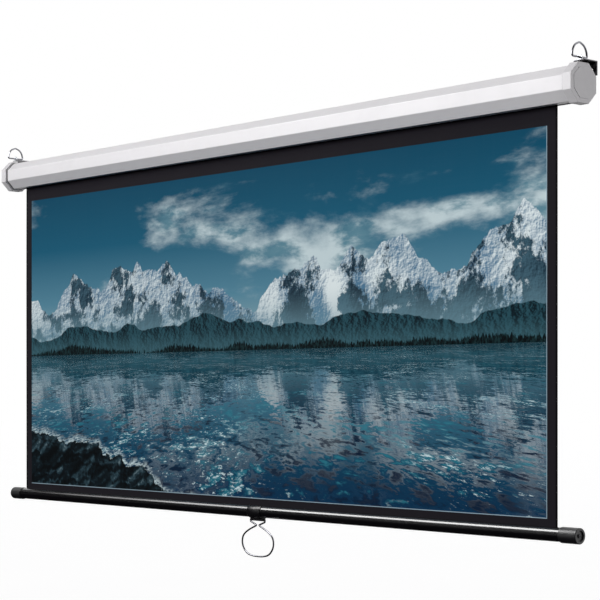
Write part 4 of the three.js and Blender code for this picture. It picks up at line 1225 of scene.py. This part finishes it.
class SCREEN_OT_works(bpy.types.Operator):
    """Give the works inside the case and the bar their finishes"""

    bl_idname = "screen.works"
    bl_label = "Roller, spring and plugs"

    finishes = {
        "black_plastic": ("shell_plug_left", "shell_plug_right", "idle_bush", "arbor_bush"),
        "zinc_steel": (
            "roller_tube",
            "idle_pin",
            "spring_arbor",
            "ratchet_wheel",
            "pawl_1",
            "pawl_2",
            "hem_rod",
        ),
        "natural_plastic": ("idle_plug", "drive_plug", "spring_anchor", "bar_plug_left", "bar_plug_right"),
        "spring_steel": ("anchor_pin", "torsion_spring", "pawl_pin_1", "pawl_pin_2"),
    }

    def execute(self, context):
        for finish, nodes in self.finishes.items():
            for node in nodes:
                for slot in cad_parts[node].material_slots:
                    slot.material = finish_of(finish)
        return {"FINISHED"}


# Stage


def add_lamp(name, kind, place, target, energy, size=(1, 1), gloss=True, diffuse=True):
    light = bpy.data.lights.new(name, kind)
    light.energy = energy
    if kind == "AREA":
        light.shape = "RECTANGLE"
        light.size, light.size_y = size
    lamp = bpy.data.objects.new(name, light)
    bpy.context.scene.collection.objects.link(lamp)
    lamp.location = place
    lamp.rotation_euler = (Vector(target) - Vector(place)).to_track_quat("-Z", "Y").to_euler()
    lamp.visible_camera = False
    lamp.visible_glossy = gloss
    lamp.visible_diffuse = diffuse
    return lamp


def stage_sheet(name, points, finish):
    """A sheet of the studio, four-cornered faces between rows of two points."""
    mesh = bpy.data.meshes.new(name)
    rows = len(points) // 2
    mesh.from_pydata(points, [], [(2 * i, 2 * i + 1, 2 * i + 3, 2 * i + 2) for i in range(rows - 1)])
    mesh.materials.append(finish_of(finish))
    sheet = bpy.data.objects.new(name, mesh)
    bpy.context.scene.collection.objects.link(sheet)
    return sheet


class SCREEN_OT_stage(bpy.types.Operator):
    """Add the floor, the lamps, the dark card that gloss reflects, the white world and the camera"""

    bl_idname = "screen.stage"
    bl_label = "Stage"

    def execute(self, context):
        studio = context.scene.screen_studio
        scene = context.scene
        self.add_floor(studio)
        self.add_card(studio)
        self.set_world(scene, studio)
        # The key is split, so that only a part of it shows in gloss.
        for name, share, gloss in (("key", 0.74, False), ("key_sheen", 0.26, True)):
            strength = studio.key_strength * share
            key = add_lamp(name, "SUN", (-1.4, -2.8, 0.7), (0, 0, 0), strength, gloss=gloss)
            key.data.angle = math.radians(24)
        side, back = ((2.6, -0.45, -0.1), (0.9, 0, -0.1)), ((-0.6, 3.2, 0.6), (0, 0, -0.4))
        add_lamp("side_fill", "AREA", *side, studio.fill_power, (1.0, 1.0), gloss=False)
        add_lamp("back_fill", "AREA", *back, studio.back_power, (2.5, 1.5), gloss=False)
        # One long softbox in four lengths, each with its share of the power, fainter towards the left.
        lengths = (
            ("far", -2.8, 0.6, 0.04),
            ("left", -2.2, 0.6, 0.11),
            ("middle", -1.4, 1.0, 0.34),
            ("right", -0.3, 1.2, 0.51),
        )
        for name, x, length, share in lengths:
            place, target = (x, -0.85, 0.5), (x, 0, -0.92)
            power = studio.strip_power * share
            add_lamp("strip_" + name, "AREA", place, target, power, (length, 0.8), diffuse=False)
        camera = bpy.data.cameras.new("camera")
        camera.sensor_width = 36
        camera.lens = 104.224
        camera.shift_y = 0.15424
        camera.clip_end = 200
        holder = bpy.data.objects.new("camera", camera)
        scene.collection.objects.link(holder)
        holder.location = (2.99903, -2.56026, -0.65042)
        holder.rotation_euler = (math.pi / 2, 0, math.radians(47.7662))
        scene.camera = holder
        scene.view_settings.view_transform = "Standard"
        return {"FINISHED"}

    def add_floor(self, studio):
        """A pale floor that adds a little light of its own where the camera or a mirror sees it."""
        board, shader = new_material("studio_floor")
        mottle = board.noise(board.object_place(), 1.5, 4, 0.5)
        pale = board.mix(mottle, (0.34, 0.34, 0.35, 1), (0.38, 0.38, 0.38, 1))
        board.fill(shader, {"Base Color": pale, "Roughness": 0.9, "Specular IOR Level": 0.1})
        glow_values = {"Color": WHITE, "Strength": board.times(board.seen(), 0.84)}
        glow = board.add("ShaderNodeEmission", glow_values)
        both = board.add("ShaderNodeAddShader", (shader.outputs[0], glow.outputs[0])).outputs[0]
        board.fill(board.tree.nodes["Material Output"], {"Surface": both})
        far, z = 60, -studio.floor_drop
        stage_sheet("floor", [(x, y, z) for y in (-far, far) for x in (-far, far)], "studio_floor")

    def add_card(self, studio):
        """A black tent in front, above and at both sides, that only scattered and mirrored rays see."""
        board, shader = new_material("studio_card")
        shade = board.noise(board.object_place(), 2.0, 3, 0.5)
        dark = board.mix(shade, (0.006, 0.006, 0.007, 1), (0.012, 0.012, 0.013, 1))
        board.fill(shader, {"Base Color": dark, "Roughness": 1, "Specular IOR Level": 0})
        low, high, wide, front = -studio.floor_drop + 0.02, 2.6, 4.5, -3.6
        roof_and_front = [(0.05, high), (-2.4, high), (front, 1.6)]
        roof_and_front += [(front, low + 0.6), (-2.8, low), (1.2, low)]
        across = [(x, y, z) for y, z in roof_and_front for x in (-wide, wide)]
        wings = [[(x, y, z) for y in (front, 0.4) for z in (low, high)] for x in (-wide, wide)]
        for name, points in (("card_front", across), ("card_left", wings[0]), ("card_right", wings[1])):
            card = stage_sheet(name, points, "studio_card")
            card.visible_camera = False
            card.visible_shadow = False
            card.visible_transmission = False
            card.visible_volume_scatter = False

    def set_world(self, scene, studio):
        world = bpy.data.worlds.new("studio")
        scene.world = world
        world.use_nodes = True
        board = Board(world.node_tree)
        strength = board.fade(board.seen(), 0, 1, studio.sky_light, 1.0, smooth=False)
        board.fill(world.node_tree.nodes["Background"], {"Color": WHITE, "Strength": strength})


class SCREEN_PT_pieces(bpy.types.Panel):
    """Lists the sizes, colours, lamps and pieces of the screen"""

    bl_label = "Projection screen"
    bl_space_type = "VIEW_3D"
    bl_region_type = "UI"
    bl_category = "Screen"

    def draw(self, context):
        scene, layout = context.scene, self.layout
        for operator in operators:
            layout.operator(operator.bl_idname)
        for heading, group in (
            ("Sizes", scene.screen_sizes),
            ("Colours", scene.screen_colours),
            ("Studio", scene.screen_studio),
        ):
            box = layout.box()
            box.label(text=heading)
            for name in group.__annotations__:
                box.prop(group, name)


operators = (
    SCREEN_OT_finishes,
    SCREEN_OT_case,
    SCREEN_OT_end_caps,
    SCREEN_OT_brackets,
    SCREEN_OT_bails,
    SCREEN_OT_fabric,
    SCREEN_OT_bar,
    SCREEN_OT_pull,
    SCREEN_OT_screws,
    SCREEN_OT_works,
    SCREEN_OT_stage,
)
property_groups = {
    "screen_sizes": ScreenSizes,
    "screen_colours": ScreenColours,
    "screen_studio": StudioSettings,
}


def register():
    for name, group in property_groups.items():
        bpy.utils.register_class(group)
        setattr(bpy.types.Scene, name, PointerProperty(type=group))
    for operator in operators:
        bpy.utils.register_class(operator)
    bpy.utils.register_class(SCREEN_PT_pieces)


def unregister():
    bpy.utils.unregister_class(SCREEN_PT_pieces)
    for operator in reversed(operators):
        bpy.utils.unregister_class(operator)
    for name, group in property_groups.items():
        delattr(bpy.types.Scene, name)
        bpy.utils.unregister_class(group)


def main():
    register()
    for operator in operators:
        family, name = operator.bl_idname.split(".")
        getattr(getattr(bpy.ops, family), name)()
    bpy.context.view_layer.update()


if __name__ == "__main__":
    main()
